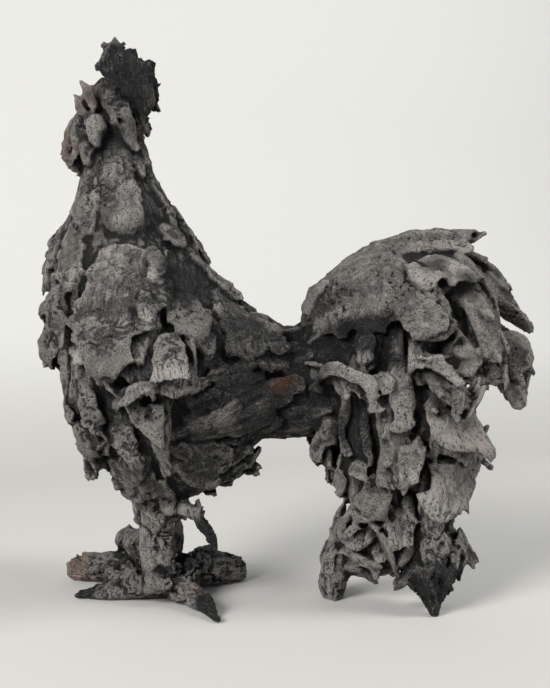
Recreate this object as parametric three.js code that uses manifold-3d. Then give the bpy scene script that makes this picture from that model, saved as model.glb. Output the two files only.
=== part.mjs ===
// A crowing rooster in dark stoneware, built by hand from torn slabs of clay and fired as one piece.
// It stands on two feet and on the tips of two tail feathers.
// Millimetres, +Z up. The bird looks towards -X, and its left side faces -Y.
// The origin is on the ground, below the middle of the bird.

import * as THREE from "three";
import { mergeVertices } from "three/addons/utils/BufferGeometryUtils.js";
import Module from "manifold-3d";

// Driving sizes
const HEIGHT = 420; // ground to the tip of the comb
const CLAY = 6.5; // thickness of the slab that each flap is torn from
const COMB_CLAY = 9; // thickness of the comb
const CREST = 13; // how far the lower end of the comb leans to the bird's left
const JOINT = 56; // width of the clay between the rump and the tail
const PROP = 26; // width of a tail feather that reaches the ground
const SHANK = 25; // diameter of a leg above the foot
const TOE = 21; // height of a toe where it leaves the foot
const CLAW = 9; // thickness of a claw where it leaves the toe
const SPUR = 10; // thickness of a spur at its root
const EYE = 21; // height of the pebble of clay that is the eye
const TREAD = 1.5; // depth pressed flat where a toe or a feather tip meets the ground

// Every place is given in hundredths of the height: x, then y where it is needed, then z.
const UNIT = HEIGHT / 100;
const place = (x, y, z) => new THREE.Vector3(x, y, z).multiplyScalar(UNIT);
const LEFT = -1; // the side of the bird that faces -Y
const RIGHT = 1;

const clayBody = new THREE.MeshStandardMaterial({ color: 0x4a4644, roughness: 0.95, metalness: 0 });

const wasm = await Module();
wasm.setup();

// A repeatable number from -1 to 1 for the unevenness of a torn edge.
function uneven(a, b) {
  const s = Math.sin(a * 12.9898 + b * 78.233) * 43758.5453;
  return 2 * (s - Math.floor(s)) - 1;
}

// The value of a short list at a share t of its length, eased between its entries.
function along(list, t) {
  const at = Math.min(Math.max(t, 0), 1) * (list.length - 1);
  const i = Math.min(Math.floor(at), list.length - 2);
  const f = at - i;
  return THREE.MathUtils.lerp(list[i], list[i + 1], f * f * (3 - 2 * f));
}

// A closed solid from indexed points and triangles.
function solidFrom(points, triangles) {
  const geometry = new THREE.BufferGeometry().setFromPoints(points);
  geometry.setIndex(triangles);
  return solidOf(geometry);
}

function solidOf(geometry) {
  const bare = geometry.clone();
  for (const name of Object.keys(bare.attributes)) if (name !== "position") bare.deleteAttribute(name);
  const merged = mergeVertices(bare, 1e-3);
  const mesh = new wasm.Mesh({
    numProp: 3,
    vertProperties: merged.attributes.position.array,
    triVerts: new Uint32Array(merged.index.array),
  });
  return new wasm.Manifold(mesh);
}

// A skin over rings of equal count, closed at both ends. The rings run along the form and all turn one way,
// and `flip` turns the faces where that is clockwise as seen from the last ring.
function skinOver(rings, flip = false) {
  const count = rings[0].length;
  const points = rings.flat();
  const triangles = [];
  const face = (a, b, c) => triangles.push(...(flip ? [a, c, b] : [a, b, c]));
  for (let i = 0; i + 1 < rings.length; i++)
    for (let j = 0; j < count; j++) {
      const k = (j + 1) % count;
      const [a, b, c, d] = [i * count + j, i * count + k, (i + 1) * count + k, (i + 1) * count + j];
      face(a, b, c);
      face(a, c, d);
    }
  for (const end of [0, rings.length - 1]) {
    const middle = rings[end].reduce((sum, p) => sum.add(p), new THREE.Vector3()).divideScalar(count);
    const hub = points.push(middle) - 1;
    for (let j = 0; j < count; j++) {
      const [a, b] = [end * count + j, end * count + ((j + 1) % count)];
      if (end === 0) face(hub, b, a);
      else face(hub, a, b);
    }
  }
  return solidFrom(points, triangles);
}

// A lump of clay given by level slices from the bottom up. A slice runs from x `front` to x `back`. It is
// `half` wide on either side of its middle `y`, and `egg` makes it narrower towards the back.
class Lump {
  constructor(rows) {
    this.rows = rows.map(([z, front, back, half, egg = 0, y = 0]) => ({ z, front, back, half, egg, y }));
  }
  slice(z) {
    const rows = this.rows;
    const next = rows.findIndex((row) => row.z > z);
    const high = rows.at(next);
    const low = next > 0 ? rows[next - 1] : high;
    const f = high === low ? 0 : (z - low.z) / (high.z - low.z);
    const mix = (key) => THREE.MathUtils.lerp(low[key], high[key], f);
    const [front, back] = [mix("front"), mix("back")];
    return { x: (front + back) / 2, a: (back - front) / 2, b: mix("half"), egg: mix("egg"), y: mix("y") };
  }
  // A point of the skin. Its turn about the vertical is 0 at the back and grows towards the bird's right.
  skin(turn, z) {
    const s = this.slice(z);
    const c = Math.cos(turn);
    return place(s.x + s.a * c, s.y + s.b * Math.sin(turn) * (1 - s.egg * c), z);
  }
  outward(turn, z) {
    const round = this.skin(turn + 0.03, z).sub(this.skin(turn - 0.03, z));
    const up = this.skin(turn, z + 1).sub(this.skin(turn, z - 1));
    return round.cross(up).normalize();
  }
  // The turn at which the skin passes x on the given side.
  turnAt(x, z, side) {
    const s = this.slice(z);
    return side * Math.acos(THREE.MathUtils.clamp((x - s.x) / s.a, -1, 1));
  }
  // The turn of a point near the skin.
  turnOf(point) {
    const [x, y, z] = point.toArray().map((v) => v / UNIT);
    const s = this.slice(z);
    return Math.atan2((y - s.y) / s.b, (x - s.x) / s.a);
  }
  solid(sides) {
    const rings = this.rows.map(({ z }) =>
      Array.from({ length: sides }, (_, i) => this.skin((2 * Math.PI * i) / sides, z)),
    );
    return skinOver(rings);
  }
}

// A closed slab of clay over a grid of middle points, each with the direction that its face looks in.
function slab(grid, clay) {
  const [rows, columns] = [grid.length, grid[0].length];
  const points = [];
  for (const side of [1, -1])
    for (const row of grid)
      for (const { point, face, thin = 1 } of row)
        points.push(point.clone().addScaledVector(face, (side * thin * clay) / 2));
  const id = (side, i, j) => side * rows * columns + i * columns + j;
  const triangles = [];
  for (let i = 0; i + 1 < rows; i++)
    for (let j = 0; j + 1 < columns; j++)
      for (const side of [0, 1]) {
        const [a, b] = [id(side, i, j), id(side, i, j + 1)];
        const [c, d] = [id(side, i + 1, j + 1), id(side, i + 1, j)];
        triangles.push(...(side ? [a, c, b, a, d, c] : [a, b, c, a, c, d]));
      }
  const rim = [];
  for (let j = 0; j + 1 < columns; j++) rim.push([0, j]);
  for (let i = 0; i + 1 < rows; i++) rim.push([i, columns - 1]);
  for (let j = columns - 1; j > 0; j--) rim.push([rows - 1, j]);
  for (let i = rows - 1; i > 0; i--) rim.push([i, 0]);
  rim.forEach(([i, j], n) => {
    const [k, l] = rim[(n + 1) % rim.length];
    const [a, b, c, d] = [id(0, i, j), id(0, k, l), id(1, k, l), id(1, i, j)];
    triangles.push(a, c, b, a, d, c);
  });
  return solidFrom(points, triangles);
}

let torn = 0; // counts the flaps and rods, so that each one is uneven in its own way

// A torn flap of clay. Its path has places [x, z] where it is laid `on` a lump, or [x, y, z] where it stands
// free and faces `face`. Width is in hundredths of the height, and lift is how far its middle stands off the
// lump, in thicknesses of clay. A cup bends its two edges away from its face. `round` draws back the corners
// of its free end, and `rag` is how unevenly it is torn, both as shares of half its width.
function flap(row) {
  const { on, side = LEFT, path, face = [0, -1, 0], width, lift = [0, 0.6, 1.2], cup = 0 } = row;
  const { round = 0.5, rag = 0.16, clay = CLAY, steps = 4, cells = 2 } = row;
  const seed = ++torn;
  const marks = path.map((p) => (on ? on.skin(on.turnAt(p[0], p[1], side), p[1]) : place(...p)));
  const curve = new THREE.CatmullRomCurve3(marks, false, "centripetal");
  const grid = [];
  for (let i = 0; i <= steps; i++) {
    const t = i / steps;
    const middle = curve.getPoint(t);
    const forward = curve.getTangent(t);
    const look = on ? on.outward(on.turnOf(middle), middle.z / UNIT) : new THREE.Vector3(...face);
    const across = forward.clone().cross(look).normalize();
    const out = across.clone().cross(forward).normalize();
    const half = (along(width, t) * UNIT) / 2;
    const points = [];
    for (let j = 0; j <= cells; j++) {
      const s = (2 * j) / cells - 1;
      const reach = s * half * (1 + rag * uneven(seed * 7 + i, j));
      const corner = round * s * s * (t ** 3 - 0.4 * (1 - t) ** 3);
      const trim = half * (rag * uneven(seed * 5 + j, i) * t ** 4 - corner);
      const point = middle.clone().addScaledVector(across, reach).addScaledVector(forward, trim);
      let normal = out;
      if (on) {
        const [turn, z] = [on.turnOf(point), point.z / UNIT];
        point.copy(on.skin(turn, z));
        normal = on.outward(turn, z);
      }
      point.addScaledVector(normal, (on ? along(lift, t) * clay : 0) - cup * half * s * s);
      points.push({ point, face: normal });
    }
    grid.push(points);
  }
  return slab(grid, clay);
}

// A rod of clay through [x, y, z] places, with a diameter in millimetres at each, stretched upwards by `tall`.
// Where it is `grounded`, z is the height of its underside, and the tread presses it into the ground.
function rod({ path, size, tall = 1, sides = 7, steps = 5, rag = 0.08, grounded = false }) {
  const seed = ++torn;
  const curve = new THREE.CatmullRomCurve3(path.map((p) => place(...p)), false, "centripetal");
  const rings = [];
  for (let i = 0; i <= steps; i++) {
    const t = i / steps;
    const middle = curve.getPoint(t);
    const forward = curve.getTangent(t);
    const level = Math.abs(forward.z) > 0.9 ? new THREE.Vector3(1, 0, 0) : new THREE.Vector3(0, 0, 1);
    const side = forward.clone().cross(level).normalize();
    const rise = side.clone().cross(forward).normalize();
    const radius = along(size, t) / 2;
    if (grounded) middle.z += radius * tall - TREAD;
    rings.push(
      Array.from({ length: sides }, (_, j) => {
        const turn = (2 * Math.PI * j) / sides;
        const r = radius * (1 + rag * uneven(seed * 3 + i, j));
        return middle
          .clone()
          .addScaledVector(side, r * Math.cos(turn))
          .addScaledVector(rise, r * tall * Math.sin(turn));
      }),
    );
  }
  return skinOver(rings, true);
}

// The body and neck, from the belly to the nape.
const body = new Lump([
  [18.6, -26.4, -15.6, 3.4, 0.1],
  [21.6, -29, -11.4, 7, 0.22],
  [27, -33.4, -6.2, 10.8, 0.36],
  [33.4, -36.8, -1, 13.8, 0.42],
  [41.5, -40.2, 1.4, 15.6, 0.42],
  [47, -41.4, -0.8, 15.2, 0.38],
  [52, -41.6, -8, 13.8, 0.3],
  [58, -41.2, -12.8, 12, 0.2],
  [64, -40.4, -17.6, 9.8, 0.15],
  [70, -38, -21, 7.2, 0.06],
  [77, -36.6, -23.8, 5.2],
  [84, -35.8, -26.4, 4.4],
  [88.6, -34.8, -28.2, 3.4],
]);

// The arch of the tail, from the hanging feathers to the top of the sickle.
const tail = new Lump([
  [4.4, 12, 18, 2.6, 0, 0.6],
  [9, 11.4, 25.4, 3.6, 0, -1],
  [14.5, 11.8, 27.4, 4.6, 0, -1.4],
  [20, 11.2, 29.4, 6, 0, -1.2],
  [27, 9, 31, 7.4, 0, -0.8],
  [34, 6, 31.8, 8.8, 0, -0.4],
  [42, 3.6, 32.4, 9.4],
  [50, 2.4, 32.8, 8.8],
  [56, 4.6, 33, 7],
  [61, 9, 32.4, 4.8],
  [64.4, 16, 31.4, 2.4],
]);

// A flap on the left side, and a plainer one much like it on the right, set a little differently.
function pair(row) {
  const [right, slip] = [++torn, 0.9];
  const path = row.path.map(([x, z], i) => [x + slip * uneven(right, i), z + slip * uneven(i, right)]);
  return [flap(row), flap({ ...row, path, side: RIGHT, steps: 2, cells: 2 })];
}

// Flaps laid on one lump, some on both of its sides and some on one.
function laidOn(on, rows, single) {
  return [...rows.flatMap((row) => pair({ on, ...row })), ...single.map((row) => flap({ on, ...row }))];
}

function bodyFlaps() {
  const rows = [
    // Hackle, down the neck
    { path: [[-33.6, 83], [-33.8, 74], [-34.8, 66]], width: [3, 3.6, 4], lift: [-0.3, 0.4, 1] },
    { path: [[-29.4, 84], [-28.6, 73], [-26.4, 64]], width: [5, 5.4, 6], lift: [-0.3, 0.4, 1.3] },
    // Shoulder cape
    {
      path: [[-25.4, 62.4], [-26.8, 54], [-27.8, 46.5], [-29.4, 40.4]], width: [8, 13, 13.4, 8.6],
      lift: [-0.3, 0.6, 1.3, 2.4], steps: 5, cells: 3,
    },
    // Pale bell on the flank
    {
      path: [[-19.2, 49], [-19.1, 43.4], [-19.3, 38.2]], width: [3.6, 5.4, 8.8], lift: [-0.2, 1.3, 2.8],
      round: 0.2,
    },
    // Point of the wing, and the ridge that runs from it to the joint
    {
      path: [[-23.6, 39.5], [-21.8, 34.4], [-20, 28.4]], width: [8, 5.6, 1.4], lift: [-0.2, 1.2, 2],
      rag: 0.08,
    },
    { path: [[-20, 29.6], [-10.7, 33.9], [-1, 37]], width: [3, 6.4, 6], lift: [0, 1, 0.2] },
    // Thigh
    { path: [[-19.4, 25.4], [-13.4, 25], [-7, 27.4]], width: [5, 8.4, 6], lift: [-0.3, 0.4, 1] },
    // Front of the breast
    {
      path: [[-36.6, 58], [-37.6, 52.4], [-37, 47]], width: [2.6, 3.4, 2.6], lift: [-0.3, 1.3, 1.8],
      cup: -0.4,
    },
    { path: [[-35.6, 45], [-34.4, 37], [-31.6, 29]], width: [5, 6.4, 4.4], lift: [-0.3, 0.9, 2] },
    { path: [[-37.4, 38], [-35, 32], [-31.4, 26]], width: [3.6, 4.6, 3], lift: [-0.4, 0.4, 1.2] },
    { path: [[-29.6, 32.4], [-28, 26.4], [-25.6, 20.4]], width: [5, 5.8, 4], lift: [-0.3, 0.8, 1.4] },
  ];
  const single = [
    // The second lobe of the left cape, and the leaf and the slab behind it
    { path: [[-24.6, 48], [-24.4, 42.4], [-24.2, 38]], width: [4.4, 5.4, 4.6], lift: [-0.2, 1.6, 2.8] },
    { path: [[-18.2, 55], [-16.2, 48.6], [-13.3, 42.2]], width: [4.4, 6, 2.4], lift: [-0.3, 1, 2.2] },
    { path: [[-13.6, 52], [-9, 47.4], [-4, 41.6]], width: [7, 9, 6.6], lift: [-0.4, 0.4, 1.4] },
    // Loose edges on the silhouette of the breast
    { path: [[-40.6, 52], [-41, 47], [-40, 42]], width: [4, 5.4, 3.4], lift: [-0.4, 0.3, 1.2] },
    {
      side: RIGHT, path: [[-40.4, 64], [-41.4, 59.4], [-41.6, 55]], width: [4, 5.4, 4],
      lift: [-0.4, 0.3, 0.8],
    },
    { path: [[-38.8, 68], [-40.4, 63], [-41.2, 58.4]], width: [4, 5, 3.6], lift: [-0.4, 0.2, 0.8] },
    // Slabs that roof the back
    { path: [[-22.6, 75], [-19, 67.6], [-14, 60.6]], width: [3.6, 5, 5], lift: [-0.4, 0.1, 0.4] },
    { path: [[-14.6, 60], [-9, 53.4], [-2, 47.8]], width: [4, 6, 6.4], lift: [-0.5, 0, 0.3] },
  ];
  return laidOn(body, rows, single);
}

function tailFlaps() {
  const rows = [
    // Cape over the root of the tail
    {
      path: [[3.2, 46.6], [9.4, 54.6], [19, 54.6], [25, 46]], width: [6, 11.4, 11.4, 5.6],
      lift: [-0.3, 0.6, 1.2, 2.6], steps: 5, cells: 3,
    },
    // Hanging feathers, from the root to the back
    { path: [[5.8, 37], [5.6, 30.6], [6.6, 24.4]], width: [3.4, 4.8, 4], lift: [-0.3, 0.7, 1.6] },
    { path: [[14.6, 50.6], [13.6, 45.4], [13.2, 41]], width: [3, 4.2, 3.4], lift: [-0.2, 1, 2] },
    {
      path: [[18, 49], [16.9, 38.3], [18, 29], [18.6, 21.6]], width: [3.8, 4.6, 5, 4.4],
      lift: [-0.2, 1.6, 2, 2.8], cup: 0.3, steps: 6,
    },
    {
      path: [[21.8, 44], [24.6, 39.4], [27, 35]], width: [3.2, 4.4, 3], lift: [-0.2, 1.8, 2.6],
      clay: 1.4 * CLAY,
    },
    { path: [[23.6, 37], [27, 31], [32.4, 26.6]], width: [5, 10, 2], lift: [-0.2, 1.4, 2.4], cells: 3 },
    {
      path: [[28, 27.6], [26.4, 21.4], [24, 15.2]], width: [8, 11, 8], lift: [-0.3, 0.9, 2], round: 0.8,
      cells: 3,
    },
    { path: [[11.4, 33], [12.4, 26.4], [11.6, 20.6]], width: [3.4, 4.6, 4], lift: [-0.3, 0.8, 1.8] },
    { path: [[18.2, 18.4], [18.8, 13.6], [19.8, 9]], width: [4, 5, 4], lift: [-0.2, 1.3, 2] },
    { path: [[27, 49], [28, 45.8], [28.2, 42.6]], width: [3, 4.2, 3], lift: [-0.2, 1.2, 2.4] },
  ];
  const single = [
    { path: [[14.6, 25], [14.8, 20.4], [14.4, 15.8]], width: [4, 5.2, 4], lift: [-0.2, 1.3, 2.4] },
    { path: [[12.8, 17.6], [12.8, 13.6], [13, 9.8]], width: [2.8, 3.6, 2.8], lift: [-0.3, 0.8, 1.6] },
  ];
  const free = [
    // Sickle along the top
    {
      path: [[9.6, 0, 59], [18, 0, 64.2], [26, 0, 65.8], [33.4, 0.4, 64.6]], face: [0, 0, 1],
      width: [6, 7, 8, 5.6], cup: 0.22,
    },
    {
      path: [[17, -4.4, 53.6], [25, -6.6, 57], [32.6, -5, 59.6]], face: [-0.2, -0.9, 0.4],
      width: [7, 8, 2.6], cup: 0.2,
    },
    // Feathers that spring out behind
    {
      path: [[28, -4, 60], [33.4, -6, 52], [36.2, -6.4, 42]], face: [0.4, -0.9, 0.2],
      width: [5.4, 6.4, 5], cup: 0.2, round: 0.9,
    },
    {
      path: [[27, 1.6, 61.6], [34.6, 3.2, 59.6], [39.6, 3.4, 54.4], [43.4, 3.6, 49.6]],
      face: [0.4, -0.7, 0.6], width: [6, 5.4, 5, 1.2],
    },
    {
      path: [[29, 2, 55], [36, 2.4, 47.6], [41, 3, 41.6], [41.8, 3.4, 34.4]], face: [0.1, -1, 0],
      width: [6, 8, 7.6, 3.6],
    },
    { path: [[25, -6.4, 43], [32, -6, 41], [38, -3.6, 39.6]], face: [0, -1, 0.2], width: [5.4, 5, 3] },
    {
      path: [[27, 4.6, 58], [34, 8, 49], [35.6, 8, 38]], face: [0.5, 0.9, 0.2], width: [5, 7, 4.4],
      cup: 0.2, round: 0.9,
    },
    { path: [[28, 2.4, 42], [32.6, 3.2, 33], [32.8, 3.2, 25]], face: [0.8, -0.6, 0], width: [5, 6.4, 4] },
    // The bar that runs back from the joint and turns down
    {
      path: [[4, -7.4, 40.6], [10.6, -10.8, 39.9], [16.4, -10.8, 35.4]], face: [0, -0.9, 0.5],
      width: [2.8, 3, 3], clay: 1.5 * CLAY,
    },
  ];
  return [...laidOn(tail, rows, single), ...free.map(flap)];
}

// The clay that joins the rump to the tail.
function joint() {
  const path = [[-8, 0, 38.6], [1, 0, 38.4], [10, 0, 38.6]];
  return rod({ path, size: [1.15 * JOINT, JOINT, 1.2 * JOINT], tall: 1.42, sides: 10, steps: 3 });
}

// The two feathers whose tips carry the tail.
function props() {
  return [
    rod({
      path: [[12, 0.4, 14], [9.4, 1.2, 7], [8.2, 1.9, -1]],
      size: [0.9 * PROP, PROP, 0.8 * PROP],
      tall: 0.9,
    }),
    rod({
      path: [[22.4, -2.6, 15], [24, -6.6, 8], [24.8, -9.8, -1]],
      size: [1.3 * PROP, 1.15 * PROP, 0.4 * PROP],
      tall: 1.6,
    }),
    flap({
      path: [[27, -4, 14], [29.4, -5.6, 10], [28.6, -7, 6]], width: [3, 3.6, 2.4], face: [0.4, -0.9, 0],
      clay: 1.3 * CLAY,
    }),
  ];
}

function comb() {
  const outline = [
    [-34.4, 89], [-33.2, 93.6], [-33.8, 95.4], [-32.6, 98.4], [-30.4, 100.4], [-29.4, 99], [-29.2, 97.6],
    [-27.6, 98], [-27.4, 96.8], [-25.9, 96.7], [-25.7, 95.2], [-23.8, 95.5], [-24.4, 91.4], [-23.2, 90.2],
    [-23.3, 87.6], [-24.8, 86], [-25.6, 83], [-28, 80.6], [-32, 84],
  ];
  const shape = new THREE.Shape(outline.map(([x, z]) => new THREE.Vector2(x * UNIT, z * UNIT)));
  const geometry = new THREE.ExtrudeGeometry(shape, { depth: COMB_CLAY, bevelEnabled: false });
  geometry.rotateX(Math.PI / 2).translate(0, COMB_CLAY / 2, 0);
  const spots = geometry.attributes.position;
  for (let i = 0; i < spots.count; i++) {
    const lean = THREE.MathUtils.clamp((spots.getX(i) / UNIT + 32) / 9, 0, 1);
    spots.setY(i, spots.getY(i) - CREST * lean * lean);
  }
  return solidOf(geometry);
}

function eye(middle) {
  return solidOf(new THREE.IcosahedronGeometry(EYE / 2, 1).scale(0.78, 0.55, 1).translate(...middle));
}

function head() {
  const bothSides = [LEFT, RIGHT].flatMap((side) => [
    eye(place(-34, side * 3.9, 84.1)),
    // Wattle, ear lobe and brow
    flap({
      path: [[-36, side * 1.6, 86.4], [-38.2, side * 2.2, 81], [-37.4, side * 2.2, 76.2]],
      face: [-0.5, side, 0], width: [2.8, 4.4, 2.6], cup: 0.3, clay: 1.2 * CLAY, steps: 3,
    }),
    flap({
      path: [[-34.6, side * 4.4, 83], [-35.4, side * 4.8, 80.6], [-35.4, side * 4.8, 78.4]],
      face: [-0.3, side, 0], width: [2.6, 3.2, 2.4], clay: 1.3 * CLAY, steps: 3,
    }),
    flap({
      path: [[-33, side * 3, 91], [-29.6, side * 4.6, 88], [-27.6, side * 5, 82.4]],
      face: [0.1, side, 0.1], width: [2.4, 2.8, 3], clay: 1.2 * CLAY,
    }),
  ]);
  return [
    comb(),
    ...bothSides,
    // Open beak, pointing up
    rod({
      path: [[-33.4, 0, 87.4], [-34.8, 0, 90.4], [-37, 0, 93]], size: [16, 10, 3], tall: 1.2, sides: 6,
      steps: 3,
    }),
    rod({
      path: [[-35, 0, 85.8], [-36.8, 0, 88.4], [-38.2, 0, 90.6]], size: [16, 10, 3], tall: 1.1,
      sides: 6, steps: 3,
    }),
  ];
}

// A toe from the foot to its tip, in shares of the toe's height, and the claw that may end it.
function toe({ path, size = [1, 0.8, 0.6], claw }) {
  const flesh = rod({ path, size: size.map((s) => s * TOE), tall: 0.95, steps: 4, grounded: true });
  if (!claw) return [flesh];
  const nail = [1.3 * CLAW, 0.6 * CLAW];
  return [flesh, rod({ path: [path.at(-1), claw], size: nail, sides: 6, steps: 2, grounded: true })];
}

function legs() {
  const shank = (x, y) =>
    rod({
      path: [[x, y, 25], [x + 0.2, y * 1.06, 15], [x + 0.6, y * 1.1, 8], [x + 1, y * 1.1, 2]],
      size: [1.6 * SHANK, 1.15 * SHANK, SHANK, 1.15 * SHANK],
      sides: 8,
      steps: 4,
    });
  return [
    shank(-23.4, -1.6),
    shank(-22.8, 4.6),
    // The pad that joins both feet
    rod({
      path: [[-32.6, 4.6, 0.4], [-24, 2.4, 0], [-16, 1.8, 0.4]], size: [TOE, 1.8 * TOE, 1.3 * TOE],
      tall: 0.75, sides: 9, steps: 4, grounded: true,
    }),
    ...toe({ path: [[-26, 0.4, 0.6], [-31, 0.4, 0], [-34.8, 0.8, 0]], claw: [-38.4, 1.2, 0] }),
    ...toe({ path: [[-20, -1, 0.6], [-15.6, -5.6, 0.6], [-13, -9.6, 0.2]], claw: [-10.9, -14, 0] }),
    ...toe({ path: [[-26, 6, 0.4], [-33, 10.4, 0.6], [-41.4, 14.6, 0]], size: [1.2, 1.3, 0.95] }),
    ...toe({ path: [[-20, 6, 0.4], [-13.6, 10.6, 0.3], [-8.4, 14, 0]], size: [1.5, 1.4, 1.05] }),
    // A stub of a toe that is tucked up behind the foot
    rod({
      path: [[-23.6, 5, 6.4], [-28, 8.6, 8.6], [-31.2, 11, 8.8]], size: [TOE, 0.95 * TOE, 0.75 * TOE],
      sides: 7, steps: 3,
    }),
    // Spur
    rod({
      path: [[-22, -2, 16.4], [-17.4, -4, 17], [-14.8, -6, 15.2], [-12.6, -7, 11.8]],
      size: [1.8 * SPUR, 1.3 * SPUR, SPUR, 0.5 * SPUR], sides: 6, steps: 4,
    }),
  ];
}

// What lies below the ground, taken off so that the bird stands flat.
function ground() {
  const slabSize = 3 * HEIGHT;
  return solidOf(new THREE.BoxGeometry(slabSize, slabSize, HEIGHT).translate(0, 0, -HEIGHT / 2));
}

// A solid without the pockets that are sealed inside it.
function filled(solid) {
  return solid
    .decompose()
    .filter((part) => part.volume() > 0)
    .reduce((whole, part) => whole.add(part));
}

// Every lump, flap and rod pressed into one piece, with no hollow left sealed inside it.
function rooster() {
  const lumps = [body.solid(14), tail.solid(12), joint()];
  const pieces = [...lumps, ...bodyFlaps(), ...tailFlaps(), ...props(), ...head(), ...legs()];
  const pressed = pieces.reduce((whole, piece) => whole.add(piece)).subtract(ground());
  const { vertProperties, triVerts } = filled(pressed).getMesh();
  const geometry = new THREE.BufferGeometry();
  geometry.setAttribute("position", new THREE.BufferAttribute(vertProperties, 3));
  geometry.setIndex(new THREE.BufferAttribute(triVerts, 1));
  geometry.computeBoundingBox();
  const middle = geometry.boundingBox.getCenter(new THREE.Vector3());
  const bird = new THREE.Mesh(geometry, clayBody);
  bird.name = "rooster";
  bird.position.set(-middle.x, -middle.y, 0);
  return bird;
}

const sculpture = new THREE.Group();
sculpture.add(rooster());
export default sculpture;
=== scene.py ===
"""Looks of a crowing rooster in dark stoneware: torn, layered clay fired to charcoal, with pale edges.

The bird's solid is fused with torn flakes of clay into one skin, which then gets cracks, grain and crumbs.
Metres, +Z up. The bird looks towards -X, and its left side faces -Y.
"""

import math

import bpy
import numpy as np
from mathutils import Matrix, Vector
from mathutils.bvhtree import BVHTree
from mathutils.kdtree import KDTree


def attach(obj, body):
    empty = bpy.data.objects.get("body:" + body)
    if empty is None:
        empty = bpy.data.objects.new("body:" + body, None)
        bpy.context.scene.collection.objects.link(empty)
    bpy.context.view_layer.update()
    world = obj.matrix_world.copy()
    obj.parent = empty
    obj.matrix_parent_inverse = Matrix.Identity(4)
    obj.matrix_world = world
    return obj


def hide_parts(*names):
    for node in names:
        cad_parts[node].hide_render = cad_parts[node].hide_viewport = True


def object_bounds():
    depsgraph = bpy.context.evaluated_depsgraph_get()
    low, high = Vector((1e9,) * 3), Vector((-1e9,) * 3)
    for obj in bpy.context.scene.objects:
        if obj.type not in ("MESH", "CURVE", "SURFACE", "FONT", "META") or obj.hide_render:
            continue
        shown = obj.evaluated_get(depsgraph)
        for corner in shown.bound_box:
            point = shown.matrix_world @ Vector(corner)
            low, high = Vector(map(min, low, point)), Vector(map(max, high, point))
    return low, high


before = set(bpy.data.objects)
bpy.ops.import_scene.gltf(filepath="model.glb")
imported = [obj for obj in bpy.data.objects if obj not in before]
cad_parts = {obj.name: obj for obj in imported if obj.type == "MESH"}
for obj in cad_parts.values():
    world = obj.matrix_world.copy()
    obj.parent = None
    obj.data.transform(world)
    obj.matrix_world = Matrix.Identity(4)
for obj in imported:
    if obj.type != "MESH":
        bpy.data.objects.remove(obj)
CAD_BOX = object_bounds()

# Sizes in metres
UNIT = 0.0042  # places are given in hundredths of the bird's height
BOX_MIDDLE = (0.00338, -0.00049)  # where the middle of the bird's box lies in those places
CLAY = 0.0037  # thickness of a torn flake
FLAKE_GRID = 0.0021  # distance between the points of a flake
CORE_GRAIN = 0.0026  # size of the first skin's faces
SKIN_GRAIN = 0.0011  # size of the fused skin's faces
FACES = 194000  # most triangles in the finished piece
ROOM = 0.004  # how far the relief may stand out of the solid's box
SEED = 7
TEAR_LENGTH = 0.01  # length of the waves in a flake's torn outline
NICK_LENGTH = 0.004  # length of the nicks in its sides
DRAPE = 0.003  # how far a flake follows the hollows and ridges of the skin
THINNEST = 0.0026  # least thickness of a flake that still fuses well
SHARD_SPACING = 0.0125  # least distance between two shards
SHARD_FLOOR = 0.012  # height below which there are no shards
FLAKE_MARGIN = 0.0045  # distance that a shard keeps from the flakes
GAP_REACH = 0.035  # how far away clay still shades a gap, for the painted shade in the gaps

LEFT, RIGHT = -1, 1


def place(x, y, z):
    """A point in metres from hundredths of the bird's height."""
    return np.array([x * UNIT - BOX_MIDDLE[0], y * UNIT - BOX_MIDDLE[1], z * UNIT])


def from_side(points, spot, reach):
    """How far points lie from a spot (x, z) as seen from the side, as a share of its reach."""
    x, z = spot
    return np.linalg.norm((points - place(x, 0, z))[:, ::2], axis=1) / (reach * UNIT)


# Noise and small helpers


def hashed(cells, seed):
    """A repeatable number from 0 to 1 for each whole-number cell."""
    n = cells[..., 0] * 73856093 ^ cells[..., 1] * 19349663 ^ cells[..., 2] * 83492791 ^ (seed * 2654435761)
    n = (n ^ (n >> 13)) * 1274126177 & 0x7FFFFFFF
    return ((n ^ (n >> 16)) & 0xFFFFFF) / 0xFFFFFF


def noise(points, size, seed):
    """Smooth noise from -1 to 1 with bumps of about that size."""
    p = np.asarray(points) / size
    base = np.floor(p).astype(np.int64)
    f = p - base
    f = f * f * (3 - 2 * f)
    total = 0
    for corner in np.ndindex(2, 2, 2):
        weight = np.prod(np.where(corner, f, 1 - f), axis=-1)
        total = total + weight * hashed(base + corner, seed)
    return 2 * total - 1


def rough(points, size, seed, octaves=3):
    """Noise with finer and weaker noise laid over it."""
    return sum(noise(points, size / 2**k, seed + k) / 2**k for k in range(octaves)) / 1.6


def along(values, t):
    """The value of a short list at shares t of its length, eased between its entries."""
    t = np.clip(t, 0, 1) * (len(values) - 1)
    i = np.minimum(t.astype(int), len(values) - 2)
    f = t - i
    f = f * f * (3 - 2 * f)
    values = np.asarray(values, float)
    return values[i] * (1 - f) + values[i + 1] * f


def spline(points, t):
    """Points and directions at shares t of a smooth curve through a few places."""
    points = np.asarray(points, float)
    ends = np.vstack([2 * points[0] - points[1], points, 2 * points[-1] - points[-2]])
    s = np.clip(t, 0, 1) * (len(points) - 1)
    i = np.minimum(s.astype(int), len(points) - 2)
    f = (s - i)[:, None]
    a, b, c, d = ends[i], ends[i + 1], ends[i + 2], ends[i + 3]
    spot = 0.5 * (2 * b + (c - a) * f + (2 * a - 5 * b + 4 * c - d) * f**2 + (3 * b - a - 3 * c + d) * f**3)
    way = 0.5 * ((c - a) + 2 * (2 * a - 5 * b + 4 * c - d) * f + 3 * (3 * b - a - 3 * c + d) * f**2)
    return spot, unit(way)


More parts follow.
